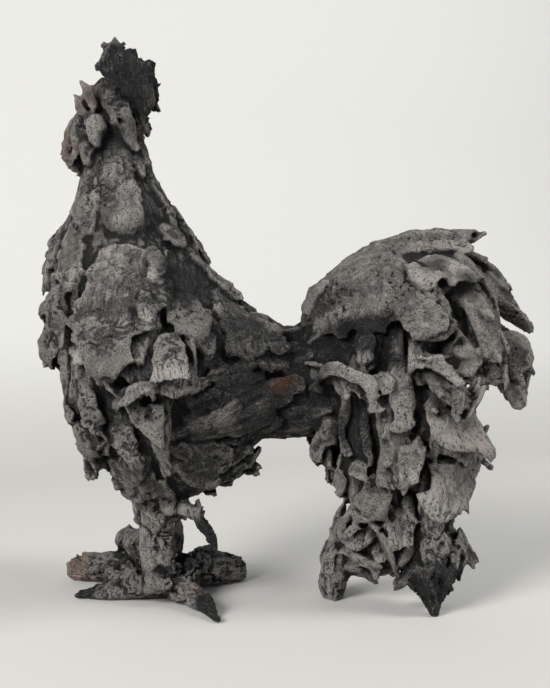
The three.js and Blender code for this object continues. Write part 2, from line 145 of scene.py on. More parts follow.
def unit(v):
    """The same directions with a length of one."""
    return v / np.maximum(np.linalg.norm(v, axis=-1, keepdims=True), 1e-9)


def eased(grid, times):
    """A grid of numbers, each drawn towards its neighbours."""
    for _ in range(times):
        wide = np.pad(grid, 1, mode="edge")
        grid = (2 * grid + wide[:-2, 1:-1] + wide[2:, 1:-1] + wide[1:-1, :-2] + wide[1:-1, 2:]) / 6
    return grid


def smoothstep(low, high, v):
    """Rises smoothly from 0 to 1 between low and high, or falls where low is the larger."""
    t = np.clip((v - low) / (high - low), 0, 1)
    return t * t * (3 - 2 * t)


# Meshes


def new_object(name, points, faces):
    mesh = bpy.data.meshes.new(name)
    mesh.from_pydata(points.tolist(), [], faces)
    mesh.update()
    obj = bpy.data.objects.new(name, mesh)
    bpy.context.scene.collection.objects.link(obj)
    return obj


def points_of(mesh):
    co = np.empty(len(mesh.vertices) * 3, np.float32)
    mesh.vertices.foreach_get("co", co)
    return co.reshape(-1, 3).astype(float)


def normals_of(mesh):
    co = np.empty(len(mesh.vertices) * 3, np.float32)
    mesh.vertex_normals.foreach_get("vector", co)
    return co.reshape(-1, 3).astype(float)


def nearest_finder(points):
    """Finds the nearest of these points."""
    tree = KDTree(len(points))
    for i, p in enumerate(points):
        tree.insert(p, i)
    tree.balance()
    return tree


def baked(obj, **modifiers):
    """The object with these modifiers applied, in the order given."""
    for kind, settings in modifiers.items():
        modifier = obj.modifiers.new(kind, kind)
        for key, value in settings.items():
            setattr(modifier, key, value)
    depsgraph = bpy.context.evaluated_depsgraph_get()
    mesh = bpy.data.meshes.new_from_object(obj.evaluated_get(depsgraph))
    old = obj.data
    obj.modifiers.clear()
    obj.data = mesh
    bpy.data.meshes.remove(old)
    return obj


def core_of_bird():
    """The bird's solid as an even, slightly softened skin."""
    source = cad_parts["rooster"].data
    core = bpy.data.objects.new("core", source.copy())
    bpy.context.scene.collection.objects.link(core)
    return baked(
        core,
        WELD={"merge_threshold": 1e-5},
        REMESH={"mode": "VOXEL", "voxel_size": CORE_GRAIN},
        SMOOTH={"factor": 0.5, "iterations": 3},
    )


TIP = (24.8, -9.6)  # where the dark prong of the tail stands
TIP_HEIGHT = 7  # height over which it is drawn in to a point


def narrowed(points):
    """Draws the last of the dark prong in towards its own middle."""
    x, y, z = (points - place(0, 0, 0)).T / UNIT
    share = smoothstep(TIP_HEIGHT, 0, z) * smoothstep(9, 6, np.hypot(x - TIP[0], y - TIP[1])) * 0.62
    points[:, 0] += (TIP[0] - x) * UNIT * share
    points[:, 1] += (TIP[1] - y) * UNIT * share * 0.5
    return points


SMOOTHED = [  # places of the core that are drawn smooth, and how far each reaches
    ((-28, 70), 7),
    ((-27, 56), 8.5),
    ((-16.4, 57), 6.5),
    ((-9, 47), 6),
    ((-26, 40.4), 4.5),
    ((13, 56), 9.5),
    ((-13.8, 27.6), 6),
]


def smoothed(mesh):
    """Draws the core smooth where the clay was wiped with a finger."""
    points = points_of(mesh)
    soft = averaged(points, neighbours(mesh), 70)
    share = np.zeros(len(points))
    for spot, reach in SMOOTHED:
        share = np.maximum(share, smoothstep(1.0, 0.7, from_side(points, spot, reach)))
    return points + (soft - points) * share[:, None]


class Surface:
    """The skin that the flakes are laid on."""

    def __init__(self, mesh):
        self.points = points_of(mesh)
        self.normals = normals_of(mesh)
        self.tree = BVHTree.FromPolygons(self.points.tolist(), [tuple(p.vertices) for p in mesh.polygons])

    def seen(self, x, z, side):
        """The place where the bird shows at (x, z) from its left or its right."""
        start = place(x, side * 60, z)
        hit = self.tree.ray_cast(Vector(start), Vector((0, -side, 0)))[0]
        if hit is None:
            hit = self.tree.find_nearest(Vector(place(x, side * 4, z)))[0]
        return np.array(hit)

    def nearest(self, points):
        found = [self.tree.find_nearest(Vector(p))[:2] for p in points]
        return np.array([f[0] for f in found]), np.array([f[1] for f in found])


class Clay:
    """Loose pieces of clay, gathered into one mesh, with what each point of them looks like."""

    def __init__(self):
        self.points, self.faces, self.looks = [], [], []
        self.count = 0

    def add(self, points, faces, way, tone, rub, number, crude=1.0):
        """tone runs from -1, dark, to 1, pale; rub is how far it is rubbed pale, crude how rough it is."""
        n = len(points)
        same = np.tile([tone, number % 97, crude], (n, 1))
        self.points.append(points)
        self.faces.extend([tuple(i + self.count for i in face) for face in faces])
        self.looks.append(np.column_stack([way, same[:, 0], rub, same[:, 1:]]))
        self.count += n


def slab_faces(rows, columns):
    """Faces of a closed slab whose top and bottom are grids of rows by columns points."""
    top = np.arange(rows * columns).reshape(rows, columns)
    low = top + rows * columns
    faces = []
    for i in range(rows - 1):
        for j in range(columns - 1):
            faces.append((top[i, j], top[i, j + 1], top[i + 1, j + 1], top[i + 1, j]))
            faces.append((low[i, j], low[i + 1, j], low[i + 1, j + 1], low[i, j + 1]))
    rim = [(0, j) for j in range(columns - 1)] + [(i, columns - 1) for i in range(rows - 1)]
    rim += [(rows - 1, j) for j in range(columns - 1, 0, -1)] + [(i, 0) for i in range(rows - 1, 0, -1)]
    for here, after in zip(rim, rim[1:] + rim[:1]):
        faces.append((top[here], low[here], low[after], top[after]))
    return faces


def torn_outline(row, half, length, t, s, number, grain):
    """How far each point lies across and along: uneven sides, a rounded start and a ragged end."""
    rag, tip = row["rag"], row["tip"]
    sides = np.stack(np.broadcast_arrays(number * 5.3, t * length / NICK_LENGTH, np.sign(s)), -1)
    waves, nicks = rough(grain * [1, 1, 0.2] + 11, 1.1, SEED), noise(sides, 1.0, SEED + 2)
    half = half * (1 + rag * waves + 0.7 * rag * nicks)
    ragged = rag * 1.4 * rough(grain * [1, 0, 1.6] + 5, 0.7, SEED + 3) * t**3
    rounded = tip * s**2 * t**3 - 0.35 * s**2 * (1 - t) ** 3
    return half * s, np.minimum(half, 0.3 * length) * (ragged - rounded), half


def draped(skin, sheet, out):
    """The sheet laid on the skin, without following its deepest hollows and its highest ridges."""
    spots = skin.nearest(sheet.reshape(-1, 3))[0].reshape(sheet.shape)
    drop = np.sum((spots - sheet) * out[:, None], axis=2)
    middle = np.median(drop)
    drop = eased(np.clip(drop, middle - DRAPE, middle + DRAPE), 4)
    return sheet + out[:, None] * drop[..., None]


def flake(clay, skin, row, side, number):
    """Makes one torn flake of clay on the bird's left or right, as its row says."""
    free = len(row["path"][0]) == 3
    path = np.array([place(*p) if free else skin.seen(*p, side) for p in row["path"]])
    wide = np.array(row["wide"]) * UNIT
    length = np.linalg.norm(np.diff(path, axis=0), axis=1).sum()
    rows = max(7, int(length / FLAKE_GRID))
    columns = max(5, int(wide.max() / FLAKE_GRID))
    t, s = np.linspace(0, 1, rows)[:, None], np.linspace(-1, 1, columns)[None, :]
    middle, way = spline(path, t[:, 0])
    faced = unit(np.broadcast_to(np.array(row["face"], float), way.shape))
    out = faced if free else skin.nearest(middle)[1]
    across = unit(np.cross(way, out))
    out = unit(np.cross(across, way))
    grain = np.stack(np.broadcast_arrays(number * 5.3, t * length / TEAR_LENGTH, s * 1.4), -1)
    spread, slide, half = torn_outline(row, along(wide, t) / 2, length, t, s, number, grain)
    sheet = middle[:, None] + across[:, None] * spread[..., None] + way[:, None] * slide[..., None]
    if not free:
        sheet = draped(skin, sheet, out)
    normal = unit(np.cross(np.gradient(sheet, axis=1), np.gradient(sheet, axis=0)))
    ripple = row["wave"] * rough(grain + 31, 1.7, SEED + 9)
    rise = (along(row["lift"], t) + ripple * (0.3 + 0.7 * t)) / 1000
    rise = rise + row["curl"] * half * s**2 - side * row["tilt"] / 1000 * s
    flat = (sheet + normal * rise[..., None]).reshape(-1, 3)
    normal = normal.reshape(-1, 3)
    # Thickness, thinner at the sides, with fibres along the flake
    fibre = 1 + 0.3 * rough(grain * [1, 0.25, 3.0] + 17, 0.8, SEED + 5)
    body = row["thick"] / 1000 * fibre * (1 - 0.3 * np.abs(s) ** 3) * (1 - 0.2 * t**4)
    body = np.maximum(body, THINNEST).reshape(-1, 1)
    points = np.vstack([flat + normal * body / 2, flat - normal * body / 2])
    edge = np.maximum(np.abs(s) ** 4 * 0.5, t**2.5).ravel()
    rub = np.clip(row["rub"] * (0.25 + 0.75 * edge), 0, 1)
    ways = np.tile(np.repeat(way, columns, axis=0), (2, 1))
    look = np.concatenate([rub, rub * 0.2])
    clay.add(points, slab_faces(rows, columns), ways, row["tone"], look, number, row["crude"])


# Flakes that show on the bird's left side, from the head down to the feet, and matching ones on its right


USUAL = {  # what a flake has where its row says nothing else
    "face": (0, -1, 0),  # where a free flake faces
    "lift": (0, 3, 7),  # how far it stands off the skin from its root to its end, in millimetres
    "tilt": 0,  # how far one side of it is lifted and the other sunk, in millimetres
    "thick": CLAY * 1000,  # thickness in millimetres
    "rub": 0.4,  # how far its edges are rubbed pale
    "tone": 0.0,  # from -1, dark, to 1, pale
    "wave": 1.0,  # height of its ripples, in millimetres
    "rag": 0.22,  # how torn its outline is
    "tip": 0.5,  # how far the corners of its end are rounded
    "curl": 0.0,  # how far its sides curl up
    "crude": 1.0,  # how rough its surface is
}
TOOTH = {"wide": (1.6, 1.1, 0.4), "lift": (0, 0, 0), "thick": 3, "rub": 0.3, "rag": 0.3}
COMB_FLAP = {"lift": (0, 0, 0), "rag": 0.4}
PETAL = {"lift": (0, 0, 0), "thick": 3.4, "rub": 0.7, "wave": 0.2, "rag": 0.06, "tip": 0.2, "crude": 0.8}
FEATHER = {"lift": (0, 0, 0), "wave": 0.3, "rag": 0.12, "crude": 0.7}
WIPED = {"wave": 0.4, "crude": 0.6}
COMBED = {"thick": 2.8, "wave": 0.4, "rag": 0.1}


def strip(path, wide, **special):
    """The row of one flake, which lies on the skin along (x, z) places, or stands free along (x, y, z) ones.

    Its path and its widths from root to end are in hundredths of the bird's height.
    """
    return {**USUAL, "path": path, "wide": wide, **special}


HEAD = [
    # Brow of twisted strips, eye, cheek and the ruffled wattle
    strip([(-32.6, 90.4), (-30.4, 88.2), (-28, 85), (-26.8, 81.6)], (1.2, 2, 2.4, 1.4), lift=(1, 3, 3, 2),
          thick=4.4, rub=0.5, wave=2, rag=0.3, crude=1.5),
    strip([(-31.6, 88.4), (-29.8, 86), (-29, 83)], (0.8, 1.2, 1), lift=(2, 5, 4), thick=3.2, rub=0.4,
          wave=2, crude=1.5),
    strip([(-30.6, 90), (-28, 88), (-26, 84.6)], (0.8, 1, 0.8), lift=(1, 2, 2), thick=3, rub=0.3, wave=2,
          crude=1.6),
    strip([(-28.2, 84), (-27.6, 81), (-26.6, 78.8)], (1.6, 2.2, 1.8), lift=(2, 4, 4), rub=0.6),
    strip([(-33.4, 85), (-32.9, 82), (-32.4, 79.2)], (2.6, 3.8, 1), lift=(4, 6, 5), thick=7, rub=0.0,
          tone=-0.7, wave=0.2, rag=0.05, tip=0.2, crude=0.6),
    strip([(-36, 87.4), (-36.2, 83.4), (-36, 79.6)], (1.2, 1.8, 1.4), lift=(1, 3, 2), rub=0.4),
    strip([(-34.8, 80.6), (-34.4, 78.4), (-34.2, 76.2)], (1.6, 2.4, 1.4), lift=(1, 3, 3)),
    strip([(-36.6, -3, 85), (-37.6, -3.4, 81.6), (-37.8, -3, 78.8), (-37, -2.6, 77)],
          (1.2, 2.4, 2.6, 1.4), face=(-0.4, -1, 0), thick=4.5, rub=0.4),
    strip([(-36.4, -4, 82.8), (-36.2, -4.4, 80), (-36.6, -4, 77.6)], (0.9, 1.4, 1.1), face=(-0.4, -1, 0),
          lift=(2, 3, 3), rub=1.1),
    # The open beak
    strip([(-33, -4.8, 86.2), (-34.4, -4.6, 89), (-36, -3, 91.8)], (1.6, 2.1, 0.5), face=(-0.2, -1, 0),
          **PETAL),
    strip([(-34.8, -4, 84.6), (-36.1, -3.8, 87), (-37.4, -2.2, 89.6)], (1.5, 2, 0.5), face=(-0.5, -1, 0),
          **PETAL),
    # Teeth round the comb, and steps down its back edge
    strip([(-29.8, 0, 97.2), (-29.2, 0, 98.8), (-28.8, 0, 99.8)], **TOOTH),
    strip([(-27.8, 0, 95.6), (-27.4, 0, 97.4), (-27, 0, 98.4)], **TOOTH),
    strip([(-25.2, 0, 94.4), (-24, 0, 95.6), (-22.9, 0, 96.3)], **TOOTH),
    strip([(-24.6, 0, 91.6), (-23.2, 0, 91.8), (-22.3, 0, 92.4)], **TOOTH),
    strip([(-24.4, 0, 88.6), (-23.2, 0, 87.8), (-22.4, 0, 87)], **TOOTH),
    strip([(-25.8, 0, 85.6), (-24.8, 0, 84.8), (-23.9, 0, 83.8)], **TOOTH),
    strip([(-32.6, 0, 95.8), (-33.6, 0, 95.2), (-34.2, 0, 94.4)], **TOOTH),
    strip([(-32, 0, 98.4), (-32.8, 0, 99.2), (-33, 0, 99.8)], **TOOTH),
    strip([(-24.6, -1, 96), (-24.4, -1.6, 92), (-24, -1.6, 88)], (1.6, 2, 1.4), face=(0.1, -1, 0),
          rub=0.4),
    strip([(-26, -1, 96), (-26.4, -1, 90), (-27, -1, 84)], (1, 1.4, 1.2), lift=(1, 1, 1), thick=3),
    strip([(-31.6, 0, 95), (-31, 0, 98), (-30.6, 0, 100.6)], (2.4, 2, 0.6), lift=(0, 0, 0), rag=0.3),
    strip([(-28.6, -0.6, 93), (-28.2, -0.6, 96), (-27.8, -0.6, 98.2)], (2, 1.8, 1), **COMB_FLAP),
    strip([(-26, -1, 91), (-24.8, -1, 94), (-24, -1, 96)], (2, 2, 1), **COMB_FLAP),
    strip([(-26.4, -1, 88), (-25.4, -1.4, 85.6), (-25, -1.4, 83)], (2, 2, 1.2), **COMB_FLAP),
]


BODY = [
    # Ridges down the neck
    strip([(-29.4, 78), (-28.6, 71), (-27.6, 62)], (5, 7.4, 9), lift=(-1, -0.5, -2.5), thick=3, rub=0.1,
          wave=0.3, crude=0.9),
    strip([(-32.6, 75.6), (-32.6, 70), (-33.2, 64)], (0.8, 1.6, 1.4), lift=(-1, 1, 1), thick=3, rub=0.5),
    strip([(-34.4, 74), (-34.8, 68), (-36, 62)], (1, 2, 2.6), lift=(-1, 0, 1), thick=3),
    strip([(-22.6, 76), (-20.8, 69), (-19, 63)], (1, 1.6, 1.4), lift=(-1, 1, 2), rub=0.8),
    strip([(-21.6, 66.4), (-20, 64), (-18.8, 61.4)], (3, 4.4, 3), rub=0.5, wave=0.4),
    # Broad plate of the breast, with a rolled rim beside a deep gap
    strip([(-36.4, 67), (-36.8, 60), (-36.2, 54)], (4, 7, 6.6), lift=(0, 1, 3), rub=0.5),
    strip([(-37.4, 55), (-38.2, 51), (-37.4, 47)], (1.6, 2, 1.6), lift=(2, 7, 6), rub=0.9),
    strip([(-35.2, 55), (-34.8, 50), (-34.4, 45)], (1.8, 2, 1.8), lift=(1, 4, 3)),
    # Shoulder cape with its three lobes
    strip([(-26.4, 62), (-27.4, 57), (-28.4, 51), (-29.2, 47), (-29.6, 43.2)], (9, 11.6, 12, 11, 8.6),
          lift=(1.5, 1.5, 2, 3, 5), tilt=-1.4, rub=0.25, wave=0.25, rag=0.16, crude=0.9),
    strip([(-33.2, 50), (-33.4, 46), (-32, 42)], (2, 3, 3.8), lift=(3, 5, 8), rub=1.0, **WIPED),
    strip([(-30.4, 44.6), (-30, 42.4), (-29.4, 40.4)], (3, 3.8, 2.8), lift=(4, 6, 7), rub=0.7, **WIPED),
    strip([(-27.4, 46), (-26.6, 42.4), (-26.2, 38.6)], (4, 5, 4.6), lift=(4, 7, 9), rub=1.0, tip=0.6,
          **WIPED),
    strip([(-23.4, 62), (-22.2, 59), (-22.4, 55)], (2.6, 3.4, 2.6), lift=(1, 5, 6), rub=0.7),
    strip([(-22.8, 60), (-22.2, 54), (-23, 47)], (3.4, 4, 3), lift=(2, 4, 6), rub=0.4),
    strip([(-21.4, 57.4), (-20.6, 54.4), (-21, 51)], (3, 3.6, 2.6), lift=(1, 4, 6)),
    strip([(-23, 53.6), (-22.6, 50.6), (-22.6, 48)], (3, 3.4, 2.6), lift=(2, 6, 8), rub=0.6),
    strip([(-19.6, 54.4), (-19, 51), (-19.4, 48)], (2.8, 3.2, 2.6), lift=(1, 4, 6)),
    # Pale bell, and the leaf and the slabs behind it
    strip([(-19.6, 47), (-19.2, 43.8), (-18.6, 39)], (3.8, 5.6, 7.6), lift=(4, 8, 11), rub=0.75, wave=0.3,
          rag=0.2, tip=0.2, crude=0.75),
    strip([(-17.4, 54), (-15.6, 49), (-13.6, 43)], (4.6, 6, 1.8), lift=(1, 4, 8), rub=0.5, wave=0.4),
    strip([(-17.4, 62), (-13, 57), (-8.4, 53)], (2, 3, 3), lift=(1, 3, 4), rub=0.6),
    strip([(-11.4, 55), (-8.4, 49), (-6.6, 43)], (5.6, 7.4, 6.6), lift=(1, 2, 4), rub=0.3, wave=0.5),
    strip([(-5.4, 51), (-3, 48), (-1.4, 43.6)], (4, 5, 4), lift=(1, 3, 4)),
    strip([(-12.6, 56.4), (-11.4, 55.4), (-10, 55)], (2, 2.4, 1.6), lift=(2, 5, 5), rub=0.8),
    # Wing point and the dark hollow behind it
    strip([(-24, 39.4), (-22.4, 35), (-20.2, 29.4)], (7.4, 5.6, 0.6), lift=(3, 6, 7), tilt=-2, rub=0.55,
          wave=0.2, rag=0.08, tip=0.1, crude=0.7),
    strip([(-21.4, 38.8), (-20.8, 34), (-20.2, 29.4)], (0.9, 1.1, 0.7), lift=(4, 6, 6), rub=1.0),
    # Layers that run back to the joint
    strip([(-18.4, 30.4), (-13.6, 33), (-8, 36)], (1.2, 2.4, 2), lift=(0, 2, 3), thick=3, rub=0.3,
          tone=-0.6),
    strip([(-17, 33), (-10, 37.6), (-4, 40.4)], (1.4, 3, 3), lift=(0, 2, 3), thick=3, rub=0.3, tone=-0.4),
    strip([(-16.4, 35.6), (-11, 39), (-6, 41)], (1, 1.6, 1.4), lift=(1, 3, 3), thick=2.8, rub=0.5),
    strip([(-15, 39), (-10, 41), (-5, 42.4)], (1.6, 2.6, 2.4), lift=(0, 2, 3), thick=3),
    strip([(-16, 30), (-9, 31.4), (-2, 34)], (1.4, 3, 2.6), lift=(0, 2, 3), thick=3, rub=0.2, tone=-0.6),
    strip([(-14.6, 31.4), (-9, 33.6), (-4, 36)], (0.8, 1.4, 1.2), lift=(1, 3, 3), thick=2.8, rub=0.5),
    strip([(-12, 29), (-6, 30.6), (-0.6, 33)], (1.6, 2.4, 2.2), lift=(1, 3, 3)),
    strip([(-9.6, 33.6), (-4, 35.4), (1, 37)], (2, 3, 3), lift=(1, 3, 3), rub=0.7),
    strip([(-6, 38), (-1, 38.6), (3.4, 39)], (2.4, 3.4, 3), lift=(1, 3, 3), rub=0.8),
    # Fan-scratched plate under the belly
    strip([(-18.8, 29), (-14, 26.6), (-9.6, 27)], (3, 7, 6.4), lift=(2, 3, 4), rub=0.2, wave=0.3),
    strip([(-18.6, 26), (-15.6, 23), (-11.6, 22.4)], (2.4, 3.6, 3), lift=(2, 3, 3), rub=0.2),
    # Torn edges down the front
    strip([(-39.4, 64), (-40.4, 61), (-40.8, 58.6)], (2.4, 3, 2), lift=(0, 2, 3), rub=0.6),
    strip([(-39.6, 57), (-40, 52), (-39.4, 48)], (2.4, 3, 2.4), lift=(0, 2, 3), rub=0.6),
    strip([(-39.6, 49), (-40, 45.6), (-39, 42)], (2.6, 3.6, 2.4), lift=(1, 3, 5), rub=0.8),
    strip([(-36.6, 45), (-36, 39), (-34, 33)], (2, 3, 2.6), lift=(1, 3, 5)),
    strip([(-37.6, 41), (-36.2, 36.4), (-34.4, 32.6)], (2.6, 3.4, 2.4), lift=(1, 3, 5), rub=0.7),
    strip([(-33, 40), (-31.6, 34), (-29.4, 28)], (2.4, 4, 3), lift=(0, 2, 4), rub=0.4),
    strip([(-34.6, 33.4), (-32.8, 29), (-30.6, 25.4)], (2.6, 3.6, 2.4), lift=(1, 3, 5), rub=0.7),
    strip([(-31.6, 28), (-29.6, 24.4), (-27.6, 21.4)], (2.6, 3.6, 2.4), lift=(1, 3, 4), rub=0.5),
    strip([(-28.6, 37), (-27, 31), (-25, 25)], (3, 4, 2.6), lift=(0, 2, 4)),
    strip([(-25.6, 30), (-24.4, 25), (-23, 20)], (3, 3.8, 3), lift=(0, 2, 3)),
]


FEET = [
    # Ridges and lumps down the leg
    strip([(-21.6, 23), (-20.8, 19.6), (-20.4, 16)], (2, 3.6, 2), lift=(1, 2, 2), thick=5),
    strip([(-22.4, 21), (-22, 17), (-22.4, 13)], (3.4, 4.6, 3), lift=(0, 0, 1), thick=3.4),
    strip([(-21.6, 14), (-21.4, 10.6), (-20.8, 7)], (3, 4.4, 4), lift=(-1, 0, 1), thick=3.4, rub=0.5),
    strip([(-24.2, 12), (-24.2, 9), (-23.8, 6.4)], (1.6, 2.4, 2), lift=(-1, 1, 1), thick=3.4),
    strip([(-18.6, 15), (-18.8, 11), (-18.6, 7)], (1.6, 2, 1.6), lift=(0, 1, 1), thick=4),
    # Knuckles, flat scales and torn ends of the toes
    strip([(-17.4, 7), (-15.8, 5.6), (-14.6, 3.8)], (2, 3, 1.8), lift=(0, 1, 1), thick=7, rub=0.8,
          wave=0.5),
    strip([(-29.6, 5), (-27.4, 3.8), (-25, 3)], (2, 3, 2.4), lift=(1, 2, 2), rub=0.5),
    strip([(-33.6, 4.4), (-31.6, 3.8), (-29.8, 3.4)], (1.4, 2.2, 2), lift=(0, 1, 1), thick=6, wave=1.4),
    strip([(-20.4, 6.6), (-18.4, 5.2), (-16.6, 5.6)], (1.6, 2.2, 1.6), lift=(0, 2, 2), thick=5),
    strip([(-24.6, 5.4), (-22.4, 4.4), (-20, 3.6)], (2, 3, 2), lift=(0, 1, 2), thick=5, wave=1.4),
]


TAIL = [
    # Pale slab along the top
    strip([(12, -3, 60), (19, -3.4, 62.6), (26, -3.4, 63.6), (32.6, -3.4, 62.2)], (3, 5, 5, 3),
          face=(0, -0.7, 0.7), lift=(0, 0, 0), thick=7, rub=0.8, wave=0.4, rag=0.04, tip=0.7),
    strip([(15, 57.4), (21, 59.8), (29, 60.4)], (5, 6.4, 4.4), lift=(0, 1, 1), thick=3, wave=0.4,
          rag=0.14, crude=0.8),
    # Combed layers over the dome
    strip([(3.6, 45), (6, 52), (11, 56.6), (18, 58.6), (24, 58)], (4, 5, 5, 4, 3), lift=(-1, 0, 0, 0, 0),
          **COMBED),
    strip([(4.4, 52), (8, 58), (14, 61.4), (22, 62.4)], (3, 4, 4, 3), lift=(-1, 0, 0, 0), **COMBED),
    strip([(8, 51), (13, 54.4), (19, 55.2), (25, 54)], (3, 4, 4, 3), lift=(-1, 0, 0, 1), rub=0.5,
          **COMBED),
    strip([(3, 49), (4.6, 53.4), (7.4, 56.6)], (2, 2.6, 2), lift=(1, 2, 2), rub=0.7),
    # Torn fringe that hangs from the edge of the dome
    strip([(3.4, 46), (6.4, 50), (11, 51.6), (16, 51.8), (21, 51), (25, 48)], (3, 6.4, 7.4, 7.4, 6.4, 3),
          lift=(0, 1.5, 2, 2, 2, 3), tilt=3, thick=3, rub=0.8, wave=0.5, rag=0.3),
    strip([(9, 50.4), (9.6, 48.6), (10, 46.8)], (4, 5, 2), lift=(1, 4, 5), thick=3, rub=0.9),
    strip([(20.6, 55.6), (22.6, 49.6), (23.4, 41.6)], (5, 7, 6), lift=(0, 4, 8), rub=0.9, wave=0.5,
          rag=0.26, tip=0.05),
    # Strips under the dome
    strip([(13.4, 49.4), (13, 45.6), (12.8, 42)], (2.4, 3.4, 2.6), lift=(1, 4, 6), rub=0.0, tone=-0.8),
    strip([(18.2, 49), (18, 43), (18.6, 37), (18.6, 31.4)], (2.4, 3, 4.4, 4), lift=(1, 3, 5, 6), rub=0.4,
          wave=0.4, tip=0.1),
    strip([(21.4, 45), (21, 42.6), (20.6, 40)], (2, 2.6, 2), lift=(1, 5, 6), rub=0.1, tone=-0.6),
    # Bone-like bar from the joint
    strip([(4.8, 38.6), (6.8, 40.6), (10.4, 40.2), (13.4, 38), (15.4, 35)], (1.6, 2.6, 2.4, 2.4, 2),
          lift=(4, 9, 11, 11, 9), thick=6, rub=1.3, wave=0.4, rag=0.1),
    strip([(11.6, 41.8), (14.8, 40.6), (17, 37.4)], (2, 3.2, 2.4), lift=(4, 8, 9), rub=0.6),
    # Rolls, strips and the leaf at the back of the tail
    strip([(20.6, 41), (23.4, 39), (26.4, 36)], (1.6, 2.4, 2), lift=(5, 9, 11), thick=5, rub=1.0,
          rag=0.12),
    strip([(22, 43), (25, 41), (28, 38)], (1.6, 2.2, 2), lift=(4, 8, 9), thick=4.5, rub=0.9),
    strip([(25.4, 44), (30.4, 42.6), (37, 41.4)], (3, 5.8, 2.6), lift=(5, 9, 7), rub=1.0, wave=0.3,
          rag=0.1, crude=0.6),
    strip([(36.6, 0, 46), (40.6, 0, 44.6), (43.4, 0, 41.4)], (5, 6.4, 3.6), face=(0.2, -1, 0), rub=0.3,
          **FEATHER),
    strip([(38.4, 0, 43), (40.2, 0, 38.8), (42, 0, 34)], (5.4, 4.8, 3), face=(0.2, -1, 0), rub=0.5,
          tip=0.7, **FEATHER),
    strip([(26.6, 49.4), (27.6, 46.6), (27.6, 43.8)], (2.4, 3.6, 2.8), lift=(3, 7, 8), rub=0.4),
    strip([(24.4, 36.8), (27.6, 31.8), (33, 26.8)], (5, 8.6, 1.4), lift=(4, 9, 13), rub=0.8, rag=0.12,
          **WIPED),
    strip([(20, 33.6), (19.8, 28), (19.2, 23)], (3.4, 4.4, 3), lift=(4, 8, 11), rub=0.8, wave=0.3,
          curl=0.15),
    strip([(22.6, 32), (22.8, 27.6), (21.6, 23)], (1.4, 2, 1.6), lift=(2, 6, 9), rub=0.9),
    strip([(30.6, 32.4), (28, 24.4), (24.2, 15.8)], (6, 11, 8), lift=(2, 6, 10), rub=0.6, wave=0.3,
          rag=0.08, tip=0.9, crude=0.7),
    strip([(20.6, 56), (25.6, 57.6), (31.8, 57.8)], (6, 7.4, 1.6), lift=(3, 6, 7), tilt=2, rub=0.3,
          tone=-0.5, wave=0.2, rag=0.08, crude=0.5),
    # Hanging strips at the front of the tail
    strip([(7.6, 33.4), (7, 29), (6.8, 25.2)], (2.6, 4.6, 4.4), lift=(2, 5, 8), thick=5, rub=0.5,
          rag=0.12, tip=0.7),
    strip([(10, 37), (10.2, 31), (11, 26.6)], (1.6, 2, 1.8), lift=(2, 5, 6), rub=0.4),
    strip([(13.4, 36), (13.2, 31), (13.8, 25)], (1.2, 1.6, 1.2), lift=(1, 3, 4), rub=0.2),
    strip([(9.4, 26), (9.6, 22.4), (9.8, 18.8)], (2, 3, 2.6), lift=(1, 4, 6), rub=0.4),
    strip([(12.4, 26), (12.2, 24.2), (12.6, 22.6)], (2, 3, 2.4), lift=(2, 5, 6), rub=1.0),
    strip([(14.8, 23.6), (14.8, 19.4), (14.6, 15.6)], (4.4, 5.6, 4.6), lift=(3, 7, 9), thick=5, rub=0.7,
          wave=1.4),
    strip([(13.8, 17.4), (13.6, 14.4), (13.6, 11.2)], (2.6, 3, 2.2), lift=(4, 8, 9), rub=0.9),
    strip([(17.8, 21), (18, 16), (18.6, 11)], (2, 2.8, 2.2), lift=(1, 5, 7), rub=0.6),
    strip([(20.6, 20), (20.6, 15.6), (20.4, 11.4)], (2, 2.8, 2), lift=(2, 6, 8), rub=0.7),
    strip([(16.2, 13.4), (16, 11), (16.2, 8.4)], (1.6, 2.2, 1.8), lift=(1, 5, 7), rub=0.9),
    strip([(9.6, 9.6), (13, 8.4), (17, 7.4)], (1.8, 2.2, 1.8), lift=(2, 4, 4), rub=1.0),
    strip([(12, 9.4), (12, 7.6), (12.2, 6)], (1.6, 1.8, 1), lift=(2, 3, 4), rub=0.9),
    strip([(15.4, 8.8), (15.6, 6.8), (15.8, 5)], (1.6, 2, 1.2), lift=(2, 3, 4), rub=0.9),
    # The two tips
    strip([(10.8, 18), (8.8, 14.4), (7.6, 10.4)], (1.8, 2.4, 2), lift=(2, 5, 4), thick=5, rub=1.1),
    strip([(12.2, 16.4), (11.4, 13), (11, 9.6)], (1.2, 1.8, 1.4), lift=(1, 4, 4), rub=0.7),
    strip([(8.6, 10), (7.6, 7.4), (7.4, 4.6)], (2.6, 3.2, 2.6), lift=(1, 2, 2), rub=0.6),
    strip([(7.8, 6), (7.4, 3.6), (7.2, 1.4)], (3, 3.4, 2.4), lift=(0, 1, 1), rub=0.5),
    strip([(21, 12), (19.8, 9), (18.8, 6.4)], (2, 1.8, 0.8), lift=(0, 2, 2), rub=0.2),
    strip([(24.4, 17), (25, 12), (24.6, 7)], (4, 5, 3.4), lift=(0, 2, 2), rub=0.4),
    strip([(27, 13.6), (28, 10.4), (27.6, 7)], (1.6, 2.4, 1.6), lift=(0, 2, 2), rub=0.8),
    strip([(23, 9), (23.2, 6), (24, 3.4)], (2, 2.6, 1.4), lift=(0, 2, 1), rub=0.1),
    strip([(26.4, 8), (26.6, 5), (25.8, 2.4)], (1.6, 2, 1), lift=(0, 2, 1), rub=0.2),
]


